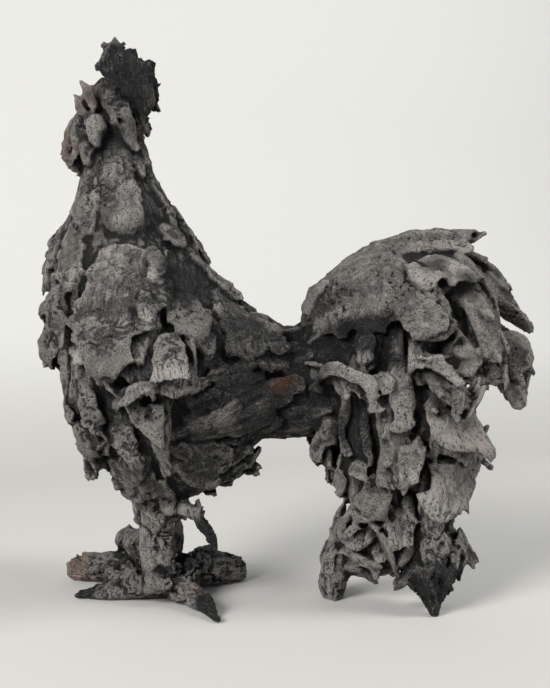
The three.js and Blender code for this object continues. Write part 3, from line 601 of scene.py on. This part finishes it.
def lay_flakes(clay, skin):
    """Lays every listed flake: each on the left, and again on the right a little out of place."""
    shift = np.random.default_rng(SEED)
    for number, row in enumerate(HEAD + BODY + FEET + TAIL):
        flake(clay, skin, row, LEFT, number)
        slip = shift.uniform(-0.9, 0.9, 2)
        if len(row["path"][0]) == 3:
            moved = [(x, -y, z) for x, y, z in row["path"]]
        else:
            moved = [tuple(np.add(p, slip)) for p in row["path"]]
        face = tuple(np.multiply(row["face"], (1, -1, 1)))
        flake(clay, skin, {**row, "path": moved, "face": face}, RIGHT, number + 200)


def flow(points):
    """The way in which the clay was drawn: down the body, round the tail and out along the toes."""
    x, z = points[:, 0] / UNIT, points[:, 2] / UNIT
    down = np.tile([0.1, 0.0, -1.0], (len(points), 1))
    back = np.tile([1.0, 0.0, 0.35], (len(points), 1))
    round_tail = np.column_stack([z - 36, np.zeros(len(x)), 17 - x])
    toes = np.column_stack([x + 24, points[:, 1] / UNIT - 2, np.zeros(len(x))])
    # Shares of the rump, of the arch of the tail and of the feet
    rump = smoothstep(-18, -8, x) * smoothstep(8, 2, x) * smoothstep(60, 46, z)
    arch = smoothstep(2, 8, x) * smoothstep(36, 44, z)
    foot = smoothstep(9, 5, z) * smoothstep(-4, -8, x)
    way = down
    for other, share in ((back, rump), (round_tail, arch), (toes, foot)):
        way = way * (1 - share[:, None]) + unit(other) * share[:, None]
    return unit(way)


CALM = [  # places with no small shards, and how far each reaches, in hundredths of the height
    ((-16.4, -10, 57), 6.5),
    ((-25, -8, 68), 5),
    ((-29, -6, 71), 7),
    ((-27, -12, 56), 8),
    ((-13.8, -11, 27.6), 5),
    ((27, -8, 31.6), 4),
    ((26.4, -8, 21.4), 5),
    ((-34, 0, 85), 9),
    ((-38, 0, 76), 7),
    ((-27, 0, 92), 9),
    ((10, -8, 31), 3.4),
    ((14, -8, 57), 9),
    ((22, -4, 59), 8),
    ((10, -9, 45), 4),
    ((-16, -8, 4), 6),
    ((-36, 0, 2), 5),
]


RAGGED = [  # places seen from the side where the clay is torn more, how far each reaches, and how much more
    ((-27, 93), 9, 1.5),
    ((25, 7), 8, 1.0),
    ((8, 5), 7, 0.6),
    ((-14, 4), 9, 1.9),
    ((-34, 4), 10, 1.9),
    ((-21, 13), 7, 0.6),
    ((-14, 14), 5, 1.0),
]


def scatter_shards(clay, skin):
    """Small flat shards like bark, wherever no flake lies, along the way in which the clay was drawn."""
    pick = np.random.default_rng(SEED + 1)
    flakes = nearest_finder(np.vstack(clay.points[1:]))
    quiet = [(place(*spot), reach * UNIT) for spot, reach in CALM]
    quiet += [(p * [1, -1, 1], reach) for p, reach in quiet]
    ways, buckets = flow(skin.points), {}
    for i in pick.permutation(len(skin.points)):
        p, normal = skin.points[i], unit(skin.normals[i])
        cell = tuple((p // SHARD_SPACING).astype(int))
        near = [q for d in np.ndindex(3, 3, 3) for q in buckets.get(tuple(np.add(cell, d) - 1), ())]
        if p[2] < SHARD_FLOOR or any(np.sum((p - q) ** 2) < SHARD_SPACING**2 for q in near):
            continue
        buckets.setdefault(cell, []).append(p)
        way = ways[i] - normal * np.dot(ways[i], normal)
        covered = flakes.find(p)[2] < FLAKE_MARGIN
        if covered or np.linalg.norm(way) < 0.25 or any(np.linalg.norm(p - q) < r for q, r in quiet):
            continue
        turn = pick.normal(0, 0.28)
        way = unit(way)
        way = way * math.cos(turn) + np.cross(normal, way) * math.sin(turn)
        shard(clay, p, unit(way), normal, pick, i)


def shard(clay, middle, way, normal, pick, number):
    """One small shard, which is smaller down on the legs and feet."""
    small = smoothstep(0.09, 0.03, middle[2]) if middle[0] < 0 else 0.0
    length = pick.uniform(0.014, 0.034) * (1 - 0.45 * small)
    half = length * pick.uniform(0.16, 0.30)
    rows, columns = 6, 5
    t, s = np.linspace(0, 1, rows)[:, None], np.linspace(-1, 1, columns)
    across = unit(np.cross(way, normal))
    profile = along((0.7, 1.0, 0.9, 0.5), t) * (1 + 0.16 * pick.uniform(-1, 1, rows))[:, None]
    ends = pick.uniform(-0.45, 0.45, columns) * half
    spread = half * profile * s
    slide = (t - 0.5) * length + ends * (2 * t - 1)
    tilt = pick.uniform(0.0012, 0.0038)
    rise = -0.0012 + tilt * t**1.3 + pick.normal(0, 0.00025, (rows, columns))
    flat = middle + spread[..., None] * across + slide[..., None] * way + rise[..., None] * normal
    flat = flat.reshape(-1, 3)
    thick = pick.uniform(0.0020, 0.0032)
    points = np.vstack([flat + normal * thick * 0.6, flat - normal * thick * 0.6])
    rub = np.tile(np.repeat(0.1 + 0.5 * t[:, 0] ** 3 * pick.uniform(0, 1.2), columns), 2)
    ways = np.tile(way, (2 * rows * columns, 1))
    tone = pick.uniform(-0.5, 0.5)
    clay.add(points, slab_faces(rows, columns), ways, tone, np.clip(rub, 0, 1), int(number))


# The relief of the clay, as a node tree


class Tree:
    """A short way of writing a geometry or shader node tree."""

    def __init__(self, tree):
        self.tree = tree

    def node(self, kind, inputs=None, out=0, **settings):
        """Adds a node and gives back one of its outputs."""
        node = self.tree.nodes.new(kind)
        for key, value in settings.items():
            setattr(node, key, value)
        for key, value in (inputs or {}).items():
            if isinstance(value, bpy.types.NodeSocket):
                self.tree.links.new(value, node.inputs[key])
            else:
                node.inputs[key].default_value = value
        return node.outputs[out]

    def math(self, operation, *values, clamp=False):
        return self.node("ShaderNodeMath", dict(enumerate(values)), operation=operation, use_clamp=clamp)

    def vector(self, operation, a, b=(0, 0, 0), out=0):
        return self.node("ShaderNodeVectorMath", {0: a, 1: b}, out, operation=operation)

    def scaled(self, a, factor):
        return self.node("ShaderNodeVectorMath", {0: a, "Scale": factor}, operation="SCALE")

    def ramp(self, value, low, high, to_low=0.0, to_high=1.0):
        """Moves smoothly from to_low to to_high while the value goes from low to high."""
        inputs = {"Value": value, "From Min": low, "From Max": high, "To Min": to_low, "To Max": to_high}
        return self.node("ShaderNodeMapRange", inputs, interpolation_type="SMOOTHSTEP")

    def mixed(self, share, colour, other):
        """A share of the other colour laid over the first. 6, 7 and 2 are a Mix node's colour sockets."""
        return self.node("ShaderNodeMix", {"Factor": share, 6: colour, 7: other}, 2, data_type="RGBA")

    def link(self, output, node, name):
        self.tree.links.new(output, node.inputs[name])


RELIEF = {  # sizes of the relief, in millimetres
    "Draw": 0.78,  # a share: how far the grain is drawn out along the way of the clay
    "Warp depth": 1.4,
    "Warp size": 15.0,
    "Tear depth": 0.8,
    "Tear size": 7.0,
    "Crack depth": 1.3,
    "Crack size": 14.0,
    "Crack patches": 30.0,
    "Wander depth": 9.0,
    "Wander size": 7.0,
    "Grain depth": 0.6,
    "Grain size": 3.4,
    "Crumb depth": 0.25,
    "Crumb size": 2.6,
    "Crumb patches": 24.0,
}


def relief_tree():
    """Moves the skin: a slow warp, torn edges, cracks along the flow, drawn grain and crumbs."""
    group = bpy.data.node_groups.new("clay relief", "GeometryNodeTree")
    faces = group.interface
    faces.new_socket("Geometry", in_out="INPUT", socket_type="NodeSocketGeometry")
    for name, value in RELIEF.items():
        faces.new_socket(name, in_out="INPUT", socket_type="NodeSocketFloat").default_value = value
    faces.new_socket("Material", in_out="INPUT", socket_type="NodeSocketMaterial")
    faces.new_socket("Geometry", in_out="OUTPUT", socket_type="NodeSocketGeometry")
    g = Tree(group)
    given = group.nodes.new("NodeGroupInput").outputs
    position = g.scaled(g.node("GeometryNodeInputPosition"), 1000.0)
    normal = g.node("GeometryNodeInputNormal")

    def stored(name, kind="FLOAT"):
        return g.node("GeometryNodeInputNamedAttribute", {"Name": name}, data_type=kind)

    def centred_noise(vector, size, detail=2.0, roughness=0.5, colour=False):
        scale = g.math("DIVIDE", 1.0, size)
        inputs = {"Vector": vector, "Scale": scale, "Detail": detail, "Roughness": roughness}
        found = g.node("ShaderNodeTexNoise", inputs, 1 if colour else 0)
        if colour:
            return g.vector("SUBTRACT", found, (0.5, 0.5, 0.5))
        return g.math("SUBTRACT", found, 0.5)

    # Coordinates drawn out along the way of the clay
    way = stored("way", "FLOAT_VECTOR")
    length = g.vector("DOT_PRODUCT", position, way, out=1)
    drawn = g.vector("SUBTRACT", position, g.scaled(way, g.math("MULTIPLY", length, given["Draw"])))
    apart = g.scaled((1.0, 0.7, 0.4), g.math("MULTIPLY", stored("number"), 3.1))
    own = g.vector("ADD", drawn, apart)
    # The slow warp and the torn edges
    warp = g.scaled(centred_noise(position, given["Warp size"], 2.0, colour=True), given["Warp depth"])
    tear = g.scaled(centred_noise(position, given["Tear size"], 3.0, 0.6, colour=True), given["Tear depth"])
    # Cracks, in some places only
    wander = centred_noise(position, given["Wander size"], 2.0, colour=True)
    bent = g.vector("ADD", drawn, g.scaled(wander, given["Wander depth"]))
    net = {"Vector": bent, "Scale": g.math("DIVIDE", 1.0, given["Crack size"])}
    edge = g.node("ShaderNodeTexVoronoi", net, feature="DISTANCE_TO_EDGE")
    open_here = g.ramp(centred_noise(position, given["Crack patches"], 2.0), -0.12, 0.1)
    crack = g.math("MULTIPLY", g.ramp(edge, 0.0, 0.09, -1.0, 0.0), given["Crack depth"])
    crack = g.math("MULTIPLY", crack, open_here)
    # Drawn grain, and crumbs in some places only
    grain = g.math("MULTIPLY", centred_noise(own, given["Grain size"], 3.0, 0.6), given["Grain depth"])
    grain = g.math("MULTIPLY", grain, 2.4)
    crumbs = g.ramp(centred_noise(position, given["Crumb size"], 2.0, 0.6), 0.02, 0.3)
    rough_here = g.ramp(centred_noise(position, given["Crumb patches"], 2.0), -0.05, 0.2)
    crumbs = g.math("MULTIPLY", g.math("MULTIPLY", crumbs, rough_here), given["Crumb depth"])
    rise = g.math("ADD", g.math("ADD", crack, grain), crumbs)
    move = g.vector("ADD", g.vector("ADD", g.scaled(warp, 2.0), g.scaled(tear, 2.0)), g.scaled(normal, rise))
    move = g.scaled(move, g.math("MULTIPLY", stored("calm"), 0.001))
    moved = g.node("GeometryNodeSetPosition", {"Geometry": given["Geometry"], "Offset": move})
    real = g.node("GeometryNodeRealizeInstances", {"Geometry": moved})
    done = g.node("GeometryNodeSetMaterial", {"Geometry": real, "Material": given["Material"]})
    g.link(done, group.nodes.new("NodeGroupOutput"), "Geometry")
    return group


def add_relief(obj, material):
    """The object with its relief, as a plain mesh."""
    tree = relief_tree()
    modifier = obj.modifiers.new("clay relief", "NODES")
    modifier.node_group = tree
    given = {**RELIEF, "Material": material}
    for item in tree.interface.items_tree:
        if item.in_out == "INPUT" and item.name in given:
            modifier[item.identifier] = given[item.name]
    return baked(obj)


def set_attribute(mesh, name, values, kind="FLOAT"):
    if name in mesh.attributes:
        mesh.attributes.remove(mesh.attributes[name])
    attribute = mesh.attributes.new(name, kind, "POINT")
    key = "vector" if kind == "FLOAT_VECTOR" else "value"
    attribute.data.foreach_set(key, np.asarray(values, np.float32).ravel())


# Marks of the firing and of wear, and where shade is painted


STAINS_AND_SHADE = {  # where each of these marks lies, how far it reaches in hundredths of the height, and how strong it is
    # charred black on the comb, the claws and the prong's tip, and the same black painted as shade round the
    # eye, under the dome, in the hollows and on the lower body
    "char_and_shade": [
        ((-27, -2, 93), 10, 1.1),
        ((-30.4, -6, 81.6), 3, 0.9),
        ((-35, -2, 5.4), 4, 0.7),
        ((-38, 1.2, 1), 6.5, 1.1),
        ((-11.6, -12.4, 1.6), 7.5, 1.2),
        ((-13.4, -6.5, 13), 5, 1.1),
        ((25.4, -9, 3), 8, 1.1),
        ((12.5, -8, 31), 6, 0.9),
        ((10, -8, 45.6), 6, 0.8),
        ((25, -6, 57.6), 4, 0.8),
        ((-15, -12, 34), 6, 0.6),
        ((-10, -10, 42), 10, 0.45),
        ((-14, -11, 27), 10, 0.3),
        ((-17.2, -10, 56.6), 7, 1.0),
        ((14, -9, 46), 7, 1.2),
        ((29.5, -6, 56), 3.6, 1.1),
        ((-2, -10, 36), 12, 0.9),
        ((-6, -12, 46), 10, 0.8),
        ((-12, -10, 30), 8, 0.4),
        ((1, -9, 46), 6, 0.8),
        ((2, 0, 32), 7, 0.5),
        ((-38, -8, 36), 5, 0.5),
    ],
    "rust": [((-0.8, -10, 40), 3.6, 1.0), ((3, -6, 30.6), 2.2, 0.8)],
    "pink": [
        ((-41.6, 14, 3.4), 7.5, 1.1),
        ((-38.6, -2, 79), 5.5, 0.6),
        ((-35.8, -2, 89.4), 6, 0.75),
        ((-25, -1, 90), 4.5, 0.4),
        ((-16.6, -5, 3.6), 3, 0.5),
        ((30, -7, 30), 7, 0.3),
    ],
    "pale": [
        ((15, -8, 51), 9, 0.9),
        ((20, -4, 60), 18, 0.9),
        ((32, -2, 50), 14, 0.8),
        ((26, -6, 32), 18, 0.9),
        ((12, -6, 14), 12, 0.75),
        ((8, -9, 40), 6, 0.6),
        ((-33, -8, 58), 12, 0.8),
        ((-21, -4, 14), 10, 0.6),
    ],
}


def stain_or_shade(points, name):
    """How strongly each point is marked by that list, stained or painted shade, with a ragged rim."""
    total = np.zeros(len(points))
    for spot, reach, strength in STAINS_AND_SHADE[name]:
        far = np.linalg.norm(points - place(*spot), axis=1) / (reach * UNIT)
        far = far + 0.35 * rough(points, 0.012, SEED + 21)
        total = np.maximum(total, strength * smoothstep(1.0, 0.55, far))
    return total


def neighbours(mesh):
    """The two ends of each edge."""
    edges = np.empty(len(mesh.edges) * 2, np.int32)
    mesh.edges.foreach_get("vertices", edges)
    return edges.reshape(-1, 2)


def averaged(values, edges, times):
    """Values smoothed over the mesh's edges."""
    n = len(values)
    count = np.bincount(edges.ravel(), minlength=n)[:, None]
    here, there = edges.T

    def gathered(v):
        return np.bincount(here, v[there], n) + np.bincount(there, v[here], n)

    for _ in range(times):
        total = np.column_stack([gathered(v) for v in values.T])
        values = 0.4 * values + 0.6 * total / np.maximum(count, 1)
    return values


def openness(mesh, points, normals, rays):
    """How open each point is to the light, from 0 deep in a gap to 1."""
    tree = BVHTree.FromPolygons(points.tolist(), [tuple(p.vertices) for p in mesh.polygons])
    pick = np.random.default_rng(SEED + 5)
    ways = unit(pick.normal(size=(rays, 3)))
    free = np.zeros(len(points))
    for way in ways:
        lean = unit(normals * 1.15 + way)
        for i, (p, d, n) in enumerate(zip(points, lean, normals)):
            hit = tree.ray_cast(Vector(p + n * 0.0006), Vector(d), GAP_REACH)[3]
            free[i] += 1.0 if hit is None else hit / GAP_REACH
    return free / rays


def mark_wear_and_shade(obj):
    """Stores on each point how rubbed it is, how open it is to the light for the painted shade in the gaps,
    and its stains and painted shade.
    """
    mesh = obj.data
    points, normals = points_of(mesh), normals_of(mesh)
    edges = neighbours(mesh)
    fine = np.sum((points - averaged(points, edges, 4)) * normals, axis=1) * 1000
    broad = np.sum((points - averaged(points, edges, 30)) * normals, axis=1) * 1000
    set_attribute(mesh, "edge", np.clip(fine * 0.5 + broad * 0.45, -1, 1))
    free = openness(mesh, points, normals, 8)
    free = averaged(free[:, None], edges, 2)[:, 0]
    set_attribute(mesh, "open", free)
    for name in STAINS_AND_SHADE:
        set_attribute(mesh, name, stain_or_shade(points, name))


# Colours of the clay
CHARCOAL = (0.030, 0.030, 0.031, 1)
IRON_GREY = (0.062, 0.060, 0.059, 1)
WARM_GREY = (0.115, 0.108, 0.102, 1)
DRY_GREY = (0.205, 0.199, 0.192, 1)
BUFF = (0.25, 0.227, 0.211, 1)
GROG = (0.38, 0.355, 0.33, 1)
RUBBED = (0.41, 0.385, 0.362, 1)
PINKISH = (0.33, 0.232, 0.2, 1)
RUST = (0.075, 0.024, 0.006, 1)
CHAR_AND_SHADE_BLACK = (0.010, 0.010, 0.011, 1)
GAP_SOOT_AND_SHADE = (0.006, 0.006, 0.007, 1)
CRACK_SHADE_BLACK = (0.006, 0.006, 0.006, 1)
# Colours of the room
SHADED_FLOOR_PAINT = (0.44, 0.437, 0.424, 1)
WALL_PAINT = (0.545, 0.545, 0.532, 1)


# Materials


def mark(g, name):
    """What the clay has stored under that name."""
    return g.node("ShaderNodeAttribute", out=2, attribute_name=name)


def grained(g, vector, size, detail=3.0, roughness=0.6):
    inputs = {"Vector": vector, "Scale": 1.0 / size, "Detail": detail, "Roughness": roughness}
    return g.node("ShaderNodeTexNoise", inputs)


def clay_surface(g, position):
    """The fine surface: its height, with strokes along the clay and a crust, and the seams in it."""
    way = g.node("ShaderNodeAttribute", out=1, attribute_name="way")
    length = g.vector("DOT_PRODUCT", position, way, out=1)
    drawn = g.vector("SUBTRACT", position, g.scaled(way, g.math("MULTIPLY", length, 0.85)))
    strokes = grained(g, drawn, 0.0020, 5.0, 0.7)
    crust = grained(g, position, 0.0012, 3.0, 0.8)
    height = g.math("ADD", g.math("MULTIPLY", strokes, 0.54), g.math("MULTIPLY", crust, 0.46))
    crude = g.ramp(mark(g, "crude"), 0.1, 1.0, 0.35, 1.0)
    height = g.math("SUBTRACT", height, 0.52)
    height = g.math("MULTIPLY_ADD", height, crude, g.ramp(crude, 0.35, 1.0, 0.49, 0.52))
    wander = g.node("ShaderNodeTexNoise", {"Vector": position, "Scale": 1 / 0.006, "Detail": 3.0}, 1)
    bent = g.vector("ADD", drawn, g.scaled(g.vector("SUBTRACT", wander, (0.5, 0.5, 0.5)), 0.006))
    seam = g.node("ShaderNodeTexVoronoi", {"Vector": bent, "Scale": 1 / 0.011}, feature="DISTANCE_TO_EDGE")
    seam_here = g.ramp(grained(g, position, 0.014, 2.0), 0.5, 0.64)
    seam = g.math("MULTIPLY", g.ramp(seam, 0.04, 0.0), seam_here, clamp=True)
    return height, g.math("MULTIPLY", seam, g.ramp(mark(g, "crude"), 0.7, 1.0))


def clay_colour(g, position, height, seam):
    """Charcoal clay with its stains, pale where it is rubbed, black in the gaps, partly from soot and partly
    as painted shade, and with grains of grog.
    """
    patches = grained(g, position, 0.022, 4.0, 0.6)
    mottle = grained(g, position, 0.0045, 4.0, 0.65)
    speck = grained(g, position, 0.0010, 2.0, 0.7)

    def marked(name, share):
        return g.math("MULTIPLY", mark(g, name), share)

    clay = g.mixed(g.ramp(patches, 0.35, 0.68), CHARCOAL, IRON_GREY)
    clay = g.mixed(g.ramp(mark(g, "tone"), -0.8, 0.8, 0.0, 0.35), clay, WARM_GREY)
    clay = g.mixed(marked("pale", g.ramp(mottle, 0.3, 0.6, 0.4, 1.0)), clay, BUFF)
    # High points are dry and pale
    clay = g.mixed(g.ramp(height, 0.50, 0.58, 0.0, 0.62), clay, DRY_GREY)
    edge, rub = g.ramp(mark(g, "edge"), 0.25, 0.85, 0.0, 0.7), g.ramp(mark(g, "rub"), 0.3, 0.9, 0.0, 0.9)
    worn = g.math("MULTIPLY", g.math("ADD", edge, rub), g.ramp(height, 0.36, 0.56, 0.15, 1.0))
    worn = g.math("MULTIPLY", worn, g.ramp(mark(g, "open"), 0.3, 0.75), clamp=True)
    clay = g.mixed(worn, clay, RUBBED)
    clay = g.mixed(marked("pink", g.ramp(mottle, 0.35, 0.6, 0.15, 1.0)), clay, PINKISH)
    # Black in the gaps and creases, by how open each point is to the light: partly soot, partly painted
    # shade
    deep = g.math("MAXIMUM", g.ramp(mark(g, "open"), 0.8, 0.38), g.ramp(mark(g, "edge"), -0.1, -0.6))
    clay = g.mixed(g.math("MULTIPLY", deep, 0.95), clay, GAP_SOOT_AND_SHADE)
    # Charred tips, and the same black painted as shade round the eye, under the dome and in the hollows
    clay = g.mixed(marked("char_and_shade", g.ramp(height, 0.6, 0.5, 0.6, 1.0)), clay, CHAR_AND_SHADE_BLACK)
    # Rust at the joint
    clay = g.mixed(marked("rust", g.ramp(mottle, 0.3, 0.55)), clay, RUST)
    # Black in the low points of the fine relief: partly a dark wash in the pits, partly painted shade
    clay = g.mixed(g.ramp(height, 0.49, 0.41, 0.0, 0.9), clay, CHAR_AND_SHADE_BLACK)
    # Black along the fine cracks: painted shade inside them
    clay = g.mixed(g.math("MULTIPLY", seam, 0.9), clay, CRACK_SHADE_BLACK)
    return g.mixed(g.math("MULTIPLY", g.ramp(speck, 0.64, 0.72), 0.55), clay, GROG)


def stoneware():
    """Unglazed clay, and glossier where it is charred."""
    material = plain("stoneware", CHARCOAL, 0.9, 0.25)
    g = Tree(material.node_tree)
    shader = material.node_tree.nodes["Principled BSDF"]
    position = g.node("ShaderNodeTexCoord", out="Object")
    height, seam = clay_surface(g, position)
    relief = g.math("SUBTRACT", height, g.math("MULTIPLY", seam, 0.5))
    bump = g.node("ShaderNodeBump", {"Height": relief, "Strength": 1.0, "Distance": 0.010})
    g.link(clay_colour(g, position, height, seam), shader, "Base Color")
    g.link(g.ramp(mark(g, "char_and_shade"), 0.2, 1.0, 0.9, 0.62), shader, "Roughness")
    g.link(bump, shader, "Normal")
    return material


def plain(name, colour, roughness, specular):
    """A material of one colour."""
    material = bpy.data.materials.new(name)
    material.use_nodes = True
    shader = material.node_tree.nodes["Principled BSDF"]
    shader.inputs["Base Color"].default_value = colour
    shader.inputs["Roughness"].default_value = roughness
    shader.inputs["Specular IOR Level"].default_value = specular
    return material


def pale_paint():
    """Matt paint, painted a little darker on the floor than on the wall: painted shade on the floor."""
    material = plain("pale paint", WALL_PAINT, 0.8, 0.3)
    g = Tree(material.node_tree)
    height = g.node("ShaderNodeSeparateXYZ", {"Vector": g.node("ShaderNodeTexCoord", out="Object")}, 2)
    colour = g.mixed(g.ramp(height, 0.0, 0.22), SHADED_FLOOR_PAINT, WALL_PAINT)
    g.link(colour, material.node_tree.nodes["Principled BSDF"], "Base Color")
    return material


# The bird


def loose_clay():
    """The core, the listed flakes laid on it and the shards, before they are fused."""
    core = core_of_bird()
    points = narrowed(smoothed(core.data))
    core.data.vertices.foreach_set("co", points.astype(np.float32).ravel())
    clay = Clay()
    faces = [tuple(p.vertices) for p in core.data.polygons]
    clay.add(points, faces, flow(points), 0.0, np.full(len(points), 0.15), 0)
    skin = Surface(baked(core, SMOOTH={"factor": 0.6, "iterations": 14}).data)
    bpy.data.objects.remove(core)
    lay_flakes(clay, skin)
    scatter_shards(clay, skin)
    return clay


def store_looks(mesh, clay):
    """Stores on each point of the fused skin the looks of the clay that it was made of."""
    points = points_of(mesh)
    tree = nearest_finder(np.vstack(clay.points))
    looks = np.vstack(clay.looks)[np.array([tree.find(p)[1] for p in points])]
    set_attribute(mesh, "way", looks[:, :3], "FLOAT_VECTOR")
    for column, name in ((3, "tone"), (4, "rub"), (5, "number"), (6, "crude")):
        set_attribute(mesh, name, looks[:, column])
    ragged = np.ones(len(points))
    for spot, reach, more in RAGGED:
        ragged = ragged + more * smoothstep(1.0, 0.6, from_side(points, spot, reach))
    # The soles stay nearly flat
    near_floor = smoothstep(0.0, 0.006, points[:, 2]) * 0.85 + 0.15
    set_attribute(mesh, "calm", near_floor * ragged * looks[:, 6])


def fuse_bird():
    """All the clay fused into one closed skin."""
    clay = loose_clay()
    bird = new_object("rooster_clay", np.vstack(clay.points), clay.faces)
    baked(bird, REMESH={"mode": "VOXEL", "voxel_size": SKIN_GRAIN}, SMOOTH={"factor": 0.4, "iterations": 1})
    store_looks(bird.data, clay)
    return bird


def keep_in_box(mesh):
    """Presses in what stands out of the solid's box, and keeps the soles flat on the floor."""
    low, high = (np.array(corner) for corner in CAD_BOX)
    points = points_of(mesh)
    for axis in range(3):
        values = points[:, axis]
        top, bottom = high[axis] - ROOM, low[axis] + ROOM
        over = values > top
        values[over] = top + 2 * ROOM * np.tanh((values[over] - top) / (2 * ROOM))
        if axis < 2:
            under = values < bottom
            values[under] = bottom - 2 * ROOM * np.tanh((bottom - values[under]) / (2 * ROOM))
    points[:, 2] = np.maximum(points[:, 2], low[2])
    mesh.vertices.foreach_set("co", points.astype(np.float32).ravel())
    mesh.update()


def make_bird():
    """The whole rooster, as one fired piece."""
    material = stoneware()
    bird = fuse_bird()
    add_relief(bird, material)
    baked(bird, TRIANGULATE={})
    share = FACES / len(bird.data.polygons)
    if share < 1:
        baked(bird, DECIMATE={"ratio": share})
    keep_in_box(bird.data)
    mark_wear_and_shade(bird)
    bird.data.materials.clear()
    bird.data.materials.append(material)
    bird.data.shade_smooth()
    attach(bird, "root")
    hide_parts("rooster")


# Floor, backdrop, light and camera


EYE = (-0.0120, -0.6745, 0.192)
LENS = 900 / 688 * 36  # the photo's focal length on a sensor 36 mm long
STAGE_FRONT, STAGE_HALF, STAGE_TOP = -2.4, 3.0, 2.6
SWEEP_START, SWEEP_RADIUS, SWEEP_TURN = 0.70, 0.8, math.radians(24)


def make_stage():
    """A pale floor that sweeps up into a backdrop."""
    steps = 32
    profile = [(STAGE_FRONT, 0.0), (SWEEP_START, 0.0)]
    for i in range(1, steps + 1):
        turn = math.pi / 2 * i / steps
        profile.append((SWEEP_START + SWEEP_RADIUS * math.sin(turn), SWEEP_RADIUS * (1 - math.cos(turn))))
    profile.append((profile[-1][0], STAGE_TOP))
    points = [(side * STAGE_HALF, y, z) for y, z in profile for side in (-1, 1)]
    faces = [(2 * i, 2 * i + 1, 2 * i + 3, 2 * i + 2) for i in range(len(profile) - 1)]
    floor = new_object("floor", np.array(points), faces)
    floor.rotation_euler = (0, 0, SWEEP_TURN)
    floor.data.shade_smooth()
    floor.data.materials.append(pale_paint())


def add_light(name, place_at, aim, size, power, colour):
    """A soft square lamp that faces a place."""
    light = bpy.data.lights.new(name, "AREA")
    light.energy, light.size, light.color = power, size, colour
    lamp = bpy.data.objects.new(name, light)
    lamp.location = place_at
    lamp.rotation_euler = (Vector(aim) - Vector(place_at)).to_track_quat("-Z", "Y").to_euler()
    bpy.context.scene.collection.objects.link(lamp)


def make_light():
    add_light("window", (-1.35, -1.7, 1.25), (0, 0.1, 0.2), 1.0, 94, (1.0, 0.985, 0.955))
    add_light("room", (1.6, -1.4, 1.2), (0, 0, 0.2), 1.8, 4, (0.95, 0.97, 1.0))
    add_light("wall wash", (1.5, -0.3, 1.7), (0.9, 1.5, 0.35), 1.0, 46, (1.0, 0.99, 0.96))
    world = bpy.data.worlds.new("room light")
    bpy.context.scene.world = world
    world.use_nodes = True
    world.node_tree.nodes["Background"].inputs[0].default_value = (0.97, 0.98, 1.0, 1)
    world.node_tree.nodes["Background"].inputs[1].default_value = 0.36


def make_camera():
    camera = bpy.data.objects.new("camera", bpy.data.cameras.new("camera"))
    camera.location = EYE
    camera.rotation_euler = (math.pi / 2, 0, 0)
    camera.data.lens = LENS
    camera.data.sensor_width = 36
    bpy.context.scene.collection.objects.link(camera)
    bpy.context.scene.camera = camera


make_camera()
make_light()
make_stage()
make_bird()
bpy.context.scene.view_settings.view_transform = "Standard"
